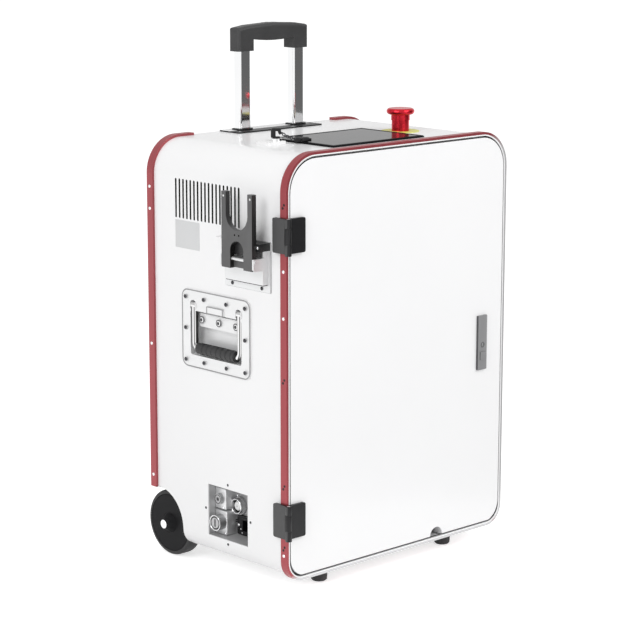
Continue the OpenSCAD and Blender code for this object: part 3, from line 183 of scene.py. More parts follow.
def make_materials():
    return {
        "white_paint": surface("white_paint", (0.86, 0.86, 0.865), 0.34, vary=0.006, vary_scale=5,
                               grain=420, grain_depth=0.03, coat=0.25),
        "red_trim": surface("red_trim", (0.36, 0.075, 0.085), 0.38, metal=0.55, vary=0.05,
                            vary_scale=30, grain=700, stretch=(1, 1, 0.04), grain_depth=0.01),
        "red_metal": surface("red_metal", (0.62, 0.02, 0.035), 0.22, metal=0.85, vary=0.05,
                             vary_scale=60, grain=900, stretch=(0.1, 0.1, 1)),
        "black_metal": surface("black_metal", (0.013, 0.013, 0.014), 0.36, specular=0.85,
                               vary=0.12, vary_scale=40, grain=1500, grain_depth=0.03),
        "black_plastic": surface("black_plastic", (0.014, 0.014, 0.015), 0.38, specular=0.85,
                                 vary=0.1, vary_scale=30, grain=1300, grain_depth=0.05),
        "rubber": surface("rubber", (0.03, 0.03, 0.031), 0.6, vary=0.15, vary_scale=30,
                          grain=1100, grain_depth=0.06),
        "tyre": surface("tyre", (0.028, 0.028, 0.029), 0.66, vary=0.15, vary_scale=25,
                        grain=900, grain_depth=0.07),
        "brushed_steel": surface("brushed_steel", (0.74, 0.745, 0.75), 0.42, metal=0.75, vary=0.04,
                                 vary_scale=20, grain=900, stretch=(1, 0.03, 1)),
        "chrome": surface("chrome", (0.86, 0.865, 0.87), 0.07, metal=1, vary=0.01, rough_vary=0.02,
                          grain=300, grain_depth=0.002),
        "grey_metal": surface("grey_metal", (0.42, 0.42, 0.425), 0.34, metal=0.7, vary=0.04,
                              vary_scale=25, grain=900, stretch=(1, 1, 0.05)),
        "legend_yellow": surface("legend_yellow", (0.68, 0.72, 0.14), 0.4, vary=0.03, grain=900),
        "screen_glass": surface("screen_glass", (0.022, 0.022, 0.024), 0.09, specular=0.06,
                                vary=0.08, vary_scale=6, rough_vary=0.02, grain=60, grain_depth=0.001),
        "bezel_black": surface("bezel_black", (0.012, 0.012, 0.013), 0.4, specular=0.02, vary=0.1,
                               vary_scale=30, grain=1300, grain_depth=0.03),
        # Painted sheen: a black lifted to dark grey for the white surroundings that the fork mirrors;
        # its front faces are set back to near black as painted shade
        "fork_black": surface("fork_black", (0.085, 0.085, 0.086), 0.4, specular=0.5, vary=0.08,
                              vary_scale=40, grain=1400, grain_depth=0.04),
        # The same black as hinge_black, kept apart so that its left faces can take a painted sheen
        "leaf_black": surface("leaf_black", (0.006, 0.006, 0.007), 0.42, specular=0.35, vary=0.1,
                              vary_scale=40, grain=1300, grain_depth=0.03),
        "base_black": surface("base_black", (0.012, 0.012, 0.013), 0.35, specular=0.15, vary=0.1,
                              vary_scale=30, grain=1300, grain_depth=0.03),
        "bar_black": surface("bar_black", (0.013, 0.013, 0.014), 0.36, specular=0.5, vary=0.12,
                             vary_scale=40, grain=1500, grain_depth=0.03),
        "grip_black": surface("grip_black", (0.04, 0.04, 0.041), 0.42, specular=0.35, vary=0.1,
                              vary_scale=30, grain=1300, grain_depth=0.03),
        "soft_black": surface("soft_black", (0.011, 0.011, 0.012), 0.45, specular=0.1, vary=0.1,
                              vary_scale=30, grain=1300, grain_depth=0.05),
        "dish_steel": surface("dish_steel", (0.8, 0.803, 0.807), 0.42, metal=0.3, vary=0.03,
                              vary_scale=20, grain=900, stretch=(1, 0.03, 1)),
        "hinge_black": surface("hinge_black", (0.006, 0.006, 0.007), 0.42, specular=0.35, vary=0.1,
                               vary_scale=40, grain=1300, grain_depth=0.03),
        "dark_chrome": surface("dark_chrome", (0.07, 0.07, 0.075), 0.16, metal=0.9, vary=0.05,
                               rough_vary=0.03, vary_scale=60, grain=900, grain_depth=0.005),
        # Painted shade: mid grey for the shadow lines round the plates
        "shadow_line_grey": surface("shadow_line_grey", (0.3, 0.3, 0.305), 0.6, vary=0.08, vary_scale=60,
                             grain=900, specular=0.3),
        # Near-black foam for the vent filter, the socket liners and the groove; the vent ribs use it
        # as painted shade in the slots
        "foam_and_shade": surface("foam_and_shade", (0.003, 0.003, 0.003), 0.9, vary=0.3, vary_scale=300, grain=900,
                        grain_depth=0.2, specular=0.02),
        "lock_grey": surface("lock_grey", (0.29, 0.29, 0.295), 0.42, metal=0.2, vary=0.04,
                             vary_scale=60, grain=900, stretch=(1, 1, 0.05)),
        # Painted shade: a steel darker than the brushed steel, for the shade in the connector recess
        "recess_steel": surface("recess_steel", (0.5, 0.5, 0.505), 0.42, metal=0.3, vary=0.08,
                                vary_scale=20, grain=900, stretch=(1, 1, 0.05)),
        "front_trim": surface("front_trim", (0.34, 0.06, 0.07), 0.38, metal=0.5, vary=0.05,
                              vary_scale=30, grain=700, stretch=(1, 1, 0.04), grain_depth=0.01),
        # Chrome of the bails, whose colour is replaced by painted reflection lines
        "bail_chrome": surface("bail_chrome", (0.86, 0.865, 0.87), 0.1, metal=1, vary=0.01,
                               rough_vary=0.02, grain=300, grain_depth=0.002),
        "label_film": surface("label_film", (0.62, 0.625, 0.63), 0.35, vary=0.01, grain=900),
        "key_white": surface("key_white", (0.84, 0.84, 0.84), 0.3, vary=0.01, grain=900),
        "module_housing": surface("module_housing", (0.3, 0.31, 0.32), 0.45, vary=0.06, grain=800),
    }


def gate_of(tree, socket, start, end):
    node = tree.nodes.new("ShaderNodeMapRange")
    node.inputs["From Min"].default_value = start
    node.inputs["From Max"].default_value = end
    tree.links.new(socket, node.inputs["Value"])
    return node.outputs["Result"]


def join_of(tree, kind, first, second):
    node = tree.nodes.new("ShaderNodeMath")
    node.operation = kind
    tree.links.new(first, node.inputs[0])
    tree.links.new(second, node.inputs[1])
    return node.outputs[0]


def ways_and_spots(mat):
    """The material's tree, the way that its surface looks and the place on the piece."""
    tree = mat.node_tree
    coords = tree.nodes.new("ShaderNodeTexCoord")
    way = tree.nodes.new("ShaderNodeSeparateXYZ")
    spot = tree.nodes.new("ShaderNodeSeparateXYZ")
    tree.links.new(coords.outputs["Normal"], way.inputs[0])
    tree.links.new(coords.outputs["Object"], spot.inputs[0])
    return tree, way.outputs, spot.outputs


def blend_in(mat, fac, colour):
    """Blends a second colour into a finish, by a share."""
    tree = mat.node_tree
    mix = tree.nodes.new("ShaderNodeMixRGB")
    mix.inputs["Color2"].default_value = (*colour, 1)
    base = shader_of(tree).inputs["Base Color"]
    tree.links.new(fac, mix.inputs["Fac"])
    tree.links.new(base.links[0].from_socket, mix.inputs["Color1"])
    tree.links.new(mix.outputs["Color"], base)


def painted_face_light(mat, way, colour, start, end):
    """Painted light and shade: blends a second colour onto the faces that look along a way, between
    two dot products.
    """
    tree = mat.node_tree
    coords = tree.nodes.new("ShaderNodeTexCoord")
    dot = tree.nodes.new("ShaderNodeVectorMath")
    dot.operation = "DOT_PRODUCT"
    dot.inputs[1].default_value = way
    tree.links.new(coords.outputs["Normal"], dot.inputs[0])
    blend_in(mat, gate_of(tree, dot.outputs["Value"], start, end), colour)


# Painted reflections, bright and dark lines across a round bar: a place from 0 to 1 and a grey level
CHROME_REFLECTION_LINES = ((0, 0.05), (0.06, 0.05), (0.1, 0.6), (0.17, 0.5), (0.22, 0.06), (0.31, 0.08),
                  (0.35, 0.75), (0.6, 0.7), (0.66, 0.08), (1, 0.05))


def chrome_painted_reflections(mat):
    """Chrome with painted reflections: its round bars show dark and bright lines, by the way that the
    surface looks.
    """
    tree, way, _ = ways_and_spots(mat)
    half = tree.nodes.new("ShaderNodeMath")
    half.operation = "MULTIPLY_ADD"
    half.inputs[1].default_value = 0.5
    half.inputs[2].default_value = 0.5
    ramp = tree.nodes.new("ShaderNodeValToRGB")
    line = ramp.color_ramp.elements
    while len(line) < len(CHROME_REFLECTION_LINES):
        line.new(0.5)
    for stop, (place, level) in zip(line, CHROME_REFLECTION_LINES):
        stop.position = place
        stop.color = (level, level, level, 1)
    tree.links.new(way["Y"], half.inputs[0])
    tree.links.new(half.outputs[0], ramp.inputs["Fac"])
    tree.links.new(ramp.outputs["Color"], shader_of(tree).inputs["Base Color"])


# Where a colour (a painted highlight, a painted reflection or bare steel) sets in and where it is
# full, in millimetres from the edge that each names
EDGE_RIGHT = (200, 232)
EDGE_LOW = (12, 4)
REFLECTION_FRONT = (23, 25)
REFLECTION_END = (6, 8)
REFLECTION_TOP = (3, 2.5)
BARE_FROM = (114.5, 115)
FRONT_GATE = (-0.8, -0.9)
TOP_GATE = (0.8, 0.9)


def painted_edge_highlight(mat, colour):
    """Painted highlight: the front trim's front edge is pale along the right side and the bottom, for
    the light that it mirrors there.
    """
    tree, way, spot = ways_and_spots(mat)
    front = gate_of(tree, way["Y"], *FRONT_GATE)
    right = gate_of(tree, spot["X"], *[cab_origin.x + x * MM for x in EDGE_RIGHT])
    low = gate_of(tree, spot["Z"], *[cab_origin.z + z * MM for z in EDGE_LOW])
    blend_in(mat, join_of(tree, "MULTIPLY", front, join_of(tree, "MAXIMUM", right, low)), colour)


def painted_top_reflection(mat, colour):
    """Painted reflection: the trolley base's top is pale behind its black front strip, for the bright
    surroundings that its glossy black top mirrors.
    """
    low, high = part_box("trolley_base")
    tree, way, spot = ways_and_spots(mat)
    fac = gate_of(tree, way["Z"], *TOP_GATE)
    for gate in (gate_of(tree, spot["Y"], *[low.y + y * MM for y in REFLECTION_FRONT]),
                 gate_of(tree, spot["X"], *[high.x - x * MM for x in REFLECTION_END]),
                 gate_of(tree, spot["Z"], *[low.z + z * MM for z in REFLECTION_TOP])):
        fac = join_of(tree, "MULTIPLY", fac, gate)
    blend_in(mat, fac, colour)


def bare_end(mat, colour):
    """Colours the rear end of the gun rest's top bar as bare steel. The bar is longer than in the
    photograph, which shows no black there."""
    tree, way, spot = ways_and_spots(mat)
    blend_in(mat, gate_of(tree, spot["Y"], *[cab_origin.y + y * MM for y in BARE_FROM]), colour)


# Painted light and shade by the way a face looks: finish, the way that its painted faces look, the
# painted colour, and where it sets in and is full.
# Painted shade on the lock plate's left faces and on the front faces of the steel and the fork; a
# painted sheen on the fixed hinge leaves' left faces.
PAINTED_FACE_LIGHT = (("lock_grey", (-1, 0, 0), (0.07, 0.07, 0.075), 0.4, 0.8),
              ("brushed_steel", (0, -1, 0), (0.7, 0.7, 0.705), 0.6, 0.9),
              ("fork_black", (0, -1, 0), (0.004, 0.004, 0.004), 0.5, 0.8),
              ("leaf_black", (-1, 0, 0), (0.06, 0.06, 0.061), 0.8, 0.95))
# Colours of the painted highlight on the front trim, the painted reflection on the trolley base's top,
# and the bare steel end
EDGE_HIGHLIGHT = (0.6, 0.6, 0.605)
TOP_REFLECTION_PALE = (0.8, 0.8, 0.805)
BARE_STEEL = (0.86, 0.86, 0.865)


def tint_faces(looks):
    """Painted light and shade: some sides are paler or darker than the rest of their piece, and the
    bail chrome gets painted reflections; the top bar's rear end is coloured bare steel.
    """
    painted_edge_highlight(looks["front_trim"], EDGE_HIGHLIGHT)
    chrome_painted_reflections(looks["bail_chrome"])
    for name, way, colour, start, end in PAINTED_FACE_LIGHT:
        painted_face_light(looks[name], way, colour, start, end)
    painted_top_reflection(looks["base_black"], TOP_REFLECTION_PALE)
    bare_end(looks["bar_black"], BARE_STEEL)


# Nodes whose finish is a closer match than their slot's own
NODE_LOOKS = {
    "front_trim": "front_trim", "lock_plate": "lock_grey", "lock_button": "lock_grey",
    "connector_box": "recess_steel", "left_handle_bail": "bail_chrome",
    "right_handle_bail": "bail_chrome", "trolley_base": "base_black",
    "trolley_grip": "grip_black", "screen_bezel": "bezel_black", "gas_fitting": "grey_metal",
    "left_wheel_hub": "soft_black", "right_wheel_hub": "soft_black",
    "left_handle_dish": "dish_steel", "right_handle_dish": "dish_steel",
    "gun_rest_fork": "fork_black", "gun_rest_top_bar": "bar_black", "power_inlet": "hinge_black",
    "upper_hinge_fixed_leaf": "leaf_black", "lower_hinge_fixed_leaf": "leaf_black",
    "upper_hinge_door_leaf": "hinge_black", "lower_hinge_door_leaf": "hinge_black",
}


def dress_nodes(looks):
    """Gives every CAD node the finish of its slot in the record, or its own."""
    for part in frame["record"]["subparts"]:
        node = nodes[part["node"]]
        node.data.materials.clear()
        look = NODE_LOOKS.get(part["node"], part["material_slot"])
        node.data.materials.append(looks[look])


SOFT_STEPS = 3
SOFT_ANGLE = math.radians(35)
WELD_MM = 0.01


def soften(name, width):
    """Rounds a CAD node's edges with modifiers, by a width in millimetres."""
    node = nodes[name]
    weld = node.modifiers.new("weld", "WELD")
    weld.merge_threshold = WELD_MM * MM
    bevel = node.modifiers.new("bevel", "BEVEL")
    bevel.width = width * MM
    bevel.segments = SOFT_STEPS
    bevel.limit_method = "ANGLE"
    bevel.angle_limit = SOFT_ANGLE
    bevel.use_clamp_overlap = True
    bevel.harden_normals = True


# Small pieces; their sizes and places are in millimetres

OUT = {-1: Vector((-1, 0, 0)), 1: Vector((1, 0, 0))}
SIDE_NAME = {-1: "left", 1: "right"}
STEPS = 48
SMOOTH_BELOW = math.radians(40)
SLAB_EDGE_STEPS = 3
PAD_EDGE_STEPS = 4


def cab_x(x):
    """A row X in metres as an X of the cabinet's frame in millimetres."""
    return (x - cab_origin.x) / MM


def piece_of(name, mesh, look, body, stand_for=()):
    piece = bpy.data.objects.new(name, mesh)
    bpy.context.scene.collection.objects.link(piece)
    mesh.materials.append(look)
    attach(piece, body)
    if stand_for:
        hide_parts(*stand_for)


def frame_at(place, outward, up=Vector((0, 0, 1))):
    """The place and turn of a small piece whose own Z looks outward."""
    z = Vector(outward).normalized()
    x = Vector(up).cross(z).normalized()
    y = z.cross(x)
    return Matrix.Translation(place) @ Matrix((x, y, z)).transposed().to_4x4()


def smooth_mesh(bm, name):
    bmesh.ops.recalc_face_normals(bm, faces=bm.faces)
    mesh = bpy.data.meshes.new(name)
    for face in bm.faces:
        face.smooth = True
    for edge in bm.edges:
        if len(edge.link_faces) == 2 and edge.calc_face_angle() > SMOOTH_BELOW:
            edge.smooth = False
    bm.to_mesh(mesh)
    bm.free()
    return mesh


def close_rows(bm, rows):
    """Faces of a ring whose sections are closed lines of equal length."""
    for i, here in enumerate(rows):
        there = rows[(i + 1) % len(rows)]
        for j in range(len(here)):
            k = (j + 1) % len(here)
            bm.faces.new((here[j], there[j], there[k], here[k]))


def close_band(bm, layers):
    """Faces of a band between an outer and an inner closed line, each at two depths."""
    count = len(layers[0])
    for i in range(count):
        j = (i + 1) % count
        for a, b in ((0, 1), (1, 3), (3, 2), (2, 0)):
            bm.faces.new((layers[a][i], layers[a][j], layers[b][j], layers[b][i]))


# A head's line from its rim to its flat middle, as shares of its radius and height
DOME = ((1.0, 0.0), (1.0, 0.35), (0.93, 0.62), (0.78, 0.84), (0.6, 0.97), (0.52, 1.0))
CROSS_ARM_SHARE = 0.48
CROSS_HALF_SHARE = 0.13
DIMPLE_SHARE = 0.3
DRIVE_FLOOR_SHARE = 0.9
DRIVE_RISE_SHARE = 0.35
NO_ZERO = 1e-6


def cross_reach(angle, arm, half):
    """Distance to the edge of a cross, with that arm length and half width, along an angle."""
    c = abs(math.cos(angle))
    s = abs(math.sin(angle))
    along = min(arm / max(c, NO_ZERO), half / max(s, NO_ZERO))
    across = min(half / max(c, NO_ZERO), arm / max(s, NO_ZERO))
    return max(along, across)


def add_head(bm, matrix, r, height, drive):
    """A screw or rivet head: a domed disc with a cross or a round dimple in it."""
    angles = [i * 2 * math.pi / STEPS for i in range(STEPS)]
    if drive == "cross":
        inner = [cross_reach(a, CROSS_ARM_SHARE * r, CROSS_HALF_SHARE * r) for a in angles]
    else:
        inner = [DIMPLE_SHARE * r] * STEPS
    rows = [[(r * share, height * rise)] * STEPS for share, rise in DOME]
    rows.append([(d, height) for d in inner])
    rows.append([(d * DRIVE_FLOOR_SHARE, height * DRIVE_RISE_SHARE) for d in inner])
    made = [[bm.verts.new(matrix @ Vector((d * math.cos(a), d * math.sin(a), h)))
             for a, (d, h) in zip(angles, row)] for row in rows]
    for low, high in zip(made, made[1:]):
        for i in range(STEPS):
            j = (i + 1) % STEPS
            bm.faces.new((low[i], low[j], high[j], high[i]))
    bm.faces.new(made[-1])
    bm.faces.new(list(reversed(made[0])))


def heads(name, places, outward, size, look, drive="dimple", body="cabinet", stand_for=()):
    """Like screw heads as one piece; places are row points, the size is a radius and a height."""
    bm = bmesh.new()
    r, height = size
    for place in places:
        add_head(bm, frame_at(place, outward), r * MM, height * MM, drive)
    piece_of(name, smooth_mesh(bm, name), look, body, stand_for)


RING_LIP = 0.3


def rings(name, middles, outward, size, look):
    """Flat rings with rounded rims as one piece; the size is two radii and a height."""
    outer, inner, height = size
    lip = min(RING_LIP, height / 3)
    profile = [(inner, 0), (inner, height - lip), (inner + lip, height), (outer - lip, height),
               (outer, height - lip), (outer, 0)]
    bm = bmesh.new()
    for middle in middles:
        matrix = frame_at(middle, outward)
        rows = []
        for i in range(STEPS):
            a = i * 2 * math.pi / STEPS
            rows.append([bm.verts.new(matrix @ Vector((r * math.cos(a), r * math.sin(a), h)))
                         for r, h in [(r * MM, h * MM) for r, h in profile]])
        close_rows(bm, rows)
    piece_of(name, smooth_mesh(bm, name), look, "cabinet")


def slab(name, low, high, edge, look):
    """A box between two row points with rounded edges."""
    bm = bmesh.new()
    bmesh.ops.create_cube(bm, size=1)
    bmesh.ops.scale(bm, vec=high - low, verts=bm.verts)
    bmesh.ops.translate(bm, vec=(low + high) / 2, verts=bm.verts)
    bmesh.ops.bevel(bm, geom=bm.edges[:], offset=edge * MM, segments=SLAB_EDGE_STEPS,
                    affect="EDGES", profile=0.5)
    piece_of(name, smooth_mesh(bm, name), look, "cabinet")


# Painted shadow lines round plates: how far they reach out and in from the edge, how proud they stand,
# their least corner radius and the steps of a corner
SHADOW_LINE_OUT = 0.7
SHADOW_LINE_IN = 1
SHADOW_LINE_PROUD = 0.35
SHADOW_LINE_MIN_R = 0.3
SHADOW_LINE_STEPS = 6


def shadow_line(name, face, mid_y, mid_z, width, rise, corner, side, looks, out=SHADOW_LINE_OUT):
    """Painted shadow: a dark grey line round a plate, a thin sheet that stands a little out from under
    its edge, for the contact shadow there.
    """
    bm = bmesh.new()
    outer, inner = [], []
    for grow, line in ((out, outer), (-SHADOW_LINE_IN, inner)):
        half_y = width / 2 + grow * MM
        half_z = rise / 2 + grow * MM
        r = max(SHADOW_LINE_MIN_R, corner + grow) * MM
        for quarter, (sy, sz) in enumerate(((1, 1), (-1, 1), (-1, -1), (1, -1))):
            for step in range(SHADOW_LINE_STEPS + 1):
                angle = math.radians(90 * quarter + 90 * step / SHADOW_LINE_STEPS)
                line.append((mid_y + sy * (half_y - r) + r * math.cos(angle),
                             mid_z + sz * (half_z - r) + r * math.sin(angle)))
    close_band(bm, [[bm.verts.new((x, y, z)) for y, z in line]
                    for x in (face, face + side * SHADOW_LINE_PROUD * MM) for line in (outer, inner)])
    piece_of(name, smooth_mesh(bm, name), looks["shadow_line_grey"], "cabinet")


TRIM_SCREW = (2.6, 1.0)
TRIM_PIN = (2, 0.3)
FRONT_SCREWS = (477.5, 407.2, 43.2)
BACK_SCREWS = (572.7, 538, 323, 109)
FRONT_PINS = (573.7, 312, 149.3, 54)
PIN_PAIR = ((-1.6, 2.6), (1.2, -2.2))


def trim_screws(looks):
    """Bright screws and small dark pins along the front and back trims."""
    half = cab_w / 2 / MM
    front_y = (trim_high.y - trim_low.y) / 2 / MM
    back_low, back_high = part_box("rear_trim_left")
    back_y = ((back_low.y + back_high.y) / 2 - cab_origin.y) / MM
    for side in (-1, 1):
        bright = [at(side * half, front_y, z) for z in FRONT_SCREWS]
        bright += [at(side * half, back_y, z) for z in BACK_SCREWS]
        heads("trim_screws_" + SIDE_NAME[side], bright, OUT[side], TRIM_SCREW, looks["chrome"],
              "cross")
        dark = [at(side * half, front_y + y, z + dz) for z in FRONT_PINS for y, dz in PIN_PAIR]
        heads("trim_pins_" + SIDE_NAME[side], dark, OUT[side], TRIM_PIN, looks["hinge_black"])


# Places in the connector recess are a Y and a Z of the cabinet's frame
FRAME_SCREW = (2.1, 0.6)
FRAME_SCREWS = ((138.2, 125.7), (190.2, 79), (86.2, 77.4), (138.4, 30.6))
RECESS_WALL_T = 1.5
FLANGE_T = 24
FLANGE_EDGE = 1.2
FLANGES = (("gas_flange", 159, 184, 78.5, 112), ("signal_flange", 157, 184, 37.5, 76))
FLANGE_SCREW = (2.6, 1.6)
FLANGE_SCREWS = ((164.5, 81.5), (160, 40.5))
WALL_SCREW = (3, 1.6)
WALL_SCREWS = ((159, 97),)
INLET_SCREW = (2.5, 1.2)
INLET_SCREWS = ((150.5, 53),)
INLET_PIN = (1.3, 0.8)
INLET_PINS = ((145.5, 47), (142.5, 41.5))


def recess_screws(looks):
    """Dark screws round the connector recess, two blocks on its wall, and the screws in it."""
    side = cab_x(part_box("body_shell")[0].x)
    wall = cab_x(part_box("connector_box")[1].x) - RECESS_WALL_T
    inlet = cab_x(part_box("power_inlet")[0].x)
    for name, y0, y1, z0, z1 in FLANGES:
        slab(name, at(wall - FLANGE_T, y0, z0), at(wall, y1, z1), FLANGE_EDGE,
             looks["brushed_steel"])
    for name, x, spots, size, look, slot, drive in (
            ("recess_frame_screws", side, FRAME_SCREWS, FRAME_SCREW, "dark_chrome",
             "black_metal", "cross"),
            ("recess_flange_screws", wall - FLANGE_T, FLANGE_SCREWS, FLANGE_SCREW, "chrome",
             "chrome", "dimple"),
            ("recess_wall_screws", wall, WALL_SCREWS, WALL_SCREW, "chrome", "chrome", "dimple"),
            ("inlet_screw", inlet, INLET_SCREWS, INLET_SCREW, "chrome", "chrome", "dimple"),
            ("inlet_pins", inlet, INLET_PINS, INLET_PIN, "brushed_steel", "chrome", "dimple")):
        heads(name, [at(x, y, z) for y, z in spots], OUT[-1], size, looks[look], drive)


DUST_CAP = (7.6, 4.2)
DUST_CAP_IN = 5.5
FIBRE_RIM = (12.2, 10.6, 0.8)
FIBRE_LINER = (11, 7.8, 1.2)
SIGNAL_RIM = (12.5, 11.6, 0.6)
SIGNAL_LINER = (11.2, 8.7, 1)
SIGNAL_LINER_IN = 9.2
GAS_GROOVE = (7.2, 6.2, 0.2)


def mouth_of(name, inward=0):
    """The middle of a socket's front face, or a point that far into it."""
    low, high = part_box(name)
    return Vector((low.x + inward * MM, (low.y + high.y) / 2, (low.z + high.z) / 2))


def socket_caps(looks):
    """The bright face rings of the sockets in the recess, and the cap in the fibre port."""
    heads("fibre_dust_cap", [mouth_of("fibre_socket", DUST_CAP_IN)], OUT[-1], DUST_CAP,
          looks["key_white"])
    for name, socket, inward, size, look, slot in (
            ("fibre_rim", "fibre_socket", 0, FIBRE_RIM, "chrome", "chrome"),
            ("fibre_liner", "fibre_socket", DUST_CAP_IN, FIBRE_LINER, "foam_and_shade", "rubber"),
            ("signal_rim", "signal_socket", 0, SIGNAL_RIM, "chrome", "chrome"),
            ("signal_liner", "signal_socket", SIGNAL_LINER_IN, SIGNAL_LINER, "foam_and_shade", "rubber"),
            ("gas_groove", "gas_fitting", 0, GAS_GROOVE, "foam_and_shade", "rubber")):
        rings(name, [mouth_of(socket, inward)], OUT[-1], size, looks[look])


HANDLE_FACE_X = 238
HANDLE_PLATE_T = 2
HANDLE_PLATE_R = 12
RIVET = (3.2, 1.2)
RIVET_RISES = (0.083, 0.5, 0.905)
RIVET_END_SHARE = 0.44
RIVET_MID_SHARE = 0.167
LATCH_RISE = 94.5
LATCH_W = 37
LATCH_H = 11
LATCH_R = 1
LATCH_OUT = 0.45
CLAMP_X = 232
CLAMP_RISE = 75.2
CLAMP_SPREAD = (-39.5, 0, 39.5)
CLAMP_WASHER = (5.6, 4.4, 0.8)
CLAMP_DISC = (4.4, 1.0)
CLAMP_SCREW = (2.6, 0.7)
CLAMP_SCREW_RISE = 0.9


def handle_trim(looks):
    """Dark rivets, clamp screws with washers, and painted shadow lines round the plates and latches of
    both side handles.
    """
    for side in (-1, 1):
        word = SIDE_NAME[side]
        low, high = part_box(word + "_handle_dish")
        side_face = cab_origin.x + side * HANDLE_FACE_X * MM
        face = side_face + side * HANDLE_PLATE_T * MM
        mid_y = (low.y + high.y) / 2
        width = high.y - low.y
        rise = high.z - low.z
        spots = []
        for row, share in enumerate(RIVET_RISES):
            shares = (RIVET_END_SHARE,) if row == 1 else (RIVET_END_SHARE, RIVET_MID_SHARE)
            spots += [Vector((face, mid_y + s * along * width, low.z + share * rise))
                      for along in shares for s in (-1, 1)]
        heads("handle_rivets_" + word, spots, OUT[side], RIVET, looks["dark_chrome"],
              stand_for=["handle_rivets"] if side < 0 else ())
        # Painted shadow lines round the handle plate and round its latch
        shadow_line(word + "_handle_shadow_line", side_face, mid_y, (low.z + high.z) / 2, width, rise,
             HANDLE_PLATE_R, side, looks)
        shadow_line(word + "_latch_shadow_line", face, mid_y, low.z + LATCH_RISE * MM, LATCH_W * MM,
             LATCH_H * MM, LATCH_R, side, looks, LATCH_OUT)
        screws = [Vector((cab_origin.x + side * CLAMP_X * MM, mid_y + y * MM,
                          low.z + CLAMP_RISE * MM)) for y in CLAMP_SPREAD]
        rings("handle_clamp_washers_" + word, screws, OUT[side], CLAMP_WASHER,
              looks["dark_chrome"])
        heads("handle_clamp_discs_" + word, screws, OUT[side], CLAMP_DISC, looks["dish_steel"])
        heads("handle_clamp_screws_" + word, [s + OUT[side] * CLAMP_SCREW_RISE * MM for s in screws],
              OUT[side], CLAMP_SCREW, looks["dark_chrome"], "cross")


REST_SCREW = (3.0, 1.2)
REST_SCREWS = ((121.8, 445.9), (55.9, 445.8))
REST_SHADOW_LINE_R = 1.5
CHANNEL_OUT = 8.5
CHANNEL_LINE = ((43.4, 451.6), (126.8, 453))
CHANNEL_LINE_EDGE = 0.2
PRONG_DISC = (1.7, 0.7)
PRONG_DISC_IN = 0.5
PRONG_END = 4.5
PRONG_DROP = 7
BAR_SCREW = (2.6, 1.0)
BAR_SCREW_AT = (43.5, 510.5)


def rest_screws(looks):
    """Screws of the gun rest, a painted shadow line round its plate, a dark line along its channel,
    and pale discs in the fork's two prong holes.
    """
    low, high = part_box("gun_rest_plate")
    face = cab_x(low.x)
    heads("rest_plate_screws", [at(face, y, z) for y, z in REST_SCREWS], OUT[-1], REST_SCREW,
          looks["dark_chrome"], "cross")
    # Painted shadow line round the rest plate
    shadow_line("rest_plate_shadow_line", high.x, (low.y + high.y) / 2, (low.z + high.z) / 2, high.y - low.y,
         high.z - low.z, REST_SHADOW_LINE_R, -1, looks)
    slab("rest_channel_line", at(face - CHANNEL_OUT, *CHANNEL_LINE[0]), at(face, *CHANNEL_LINE[1]),
         CHANNEL_LINE_EDGE, looks["dark_chrome"])
    low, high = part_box("gun_rest_fork")
    mid_y = (low.y + high.y) / 2
    reach = (high.y - low.y) / 2 - PRONG_END * MM
    tips = [Vector((low.x + PRONG_DISC_IN * MM, mid_y + s * reach, high.z - PRONG_DROP * MM))
            for s in (-1, 1)]
    heads("prong_screws", tips, OUT[-1], PRONG_DISC, looks["key_white"],
          body="gun_fork")
    heads("rest_bar_screw", [at(cab_x(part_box("gun_rest_top_bar")[0].x), *BAR_SCREW_AT)], OUT[-1],
          BAR_SCREW, looks["chrome"], "cross")


CORNER_TOP_R = 57
CORNER_LOW_R = 33
CORNER_STEPS = 16
# Painted gap shadow band: how far the door's outline grows, the band's width at the sides and at the
# top and bottom, and how far it stands proud and reaches back
DOOR_GROW = 0.15
BAND_SIDE_W = 0.08
BAND_W = 1.3
BAND_PROUD = 0.08
BAND_DEPTH = 1


def outline(side_in, end_in, top_r, low_r):
    """Points round the cabinet's outline, drawn in at the sides and at the top and bottom."""
    half = cab_w / 2 / MM - side_in
    low, top = end_in, cab_h / MM - end_in
    line = []
    corners = ((half, top, top_r, 0), (-half, top, top_r, 90), (-half, low, low_r, 180),
               (half, low, low_r, 270))
    for x, z, r, start in corners:
        mid_x = x - math.copysign(r, x)
        mid_z = z - r if z == top else z + r
        for step in range(CORNER_STEPS + 1):
            angle = math.radians(start + 90 * step / CORNER_STEPS)
            line.append((mid_x + r * math.cos(angle), mid_z + r * math.sin(angle)))
    return line


def door_gap_shade(looks):
    """Painted shadow: a near-black band round the door's edge for the shade in the gap round the door,
    which shows along the top and the bottom.
    """
    low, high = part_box("door_panel")
    inset = (cab_w - (high.x - low.x)) / 2 / MM - DOOR_GROW
    radii = (CORNER_TOP_R - inset, CORNER_LOW_R - inset)
    outer = outline(inset, inset, *radii)
    inner = outline(inset + BAND_SIDE_W, inset + BAND_W, *radii)
    bm = bmesh.new()
    close_band(bm, [[bm.verts.new(at(x, y, z)) for x, z in line]
                    for y in (-BAND_PROUD, BAND_DEPTH) for line in (outer, inner)])
    piece_of("door_gap_shade_band", smooth_mesh(bm, "door_gap_shade_band"), looks["hinge_black"], "door")


LABEL_T = 0.6
LABEL_LOW = (199.6, 484)
LABEL_HIGH = (256, 527)
LABEL_EDGE = 0.25


def label_plate(looks):
    """A plain blank plate where the photograph has a label."""
    side = cab_x(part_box("body_shell")[0].x)
    slab("blank_plate", at(side - LABEL_T, *LABEL_LOW), at(side, *LABEL_HIGH), LABEL_EDGE,
         looks["label_film"])


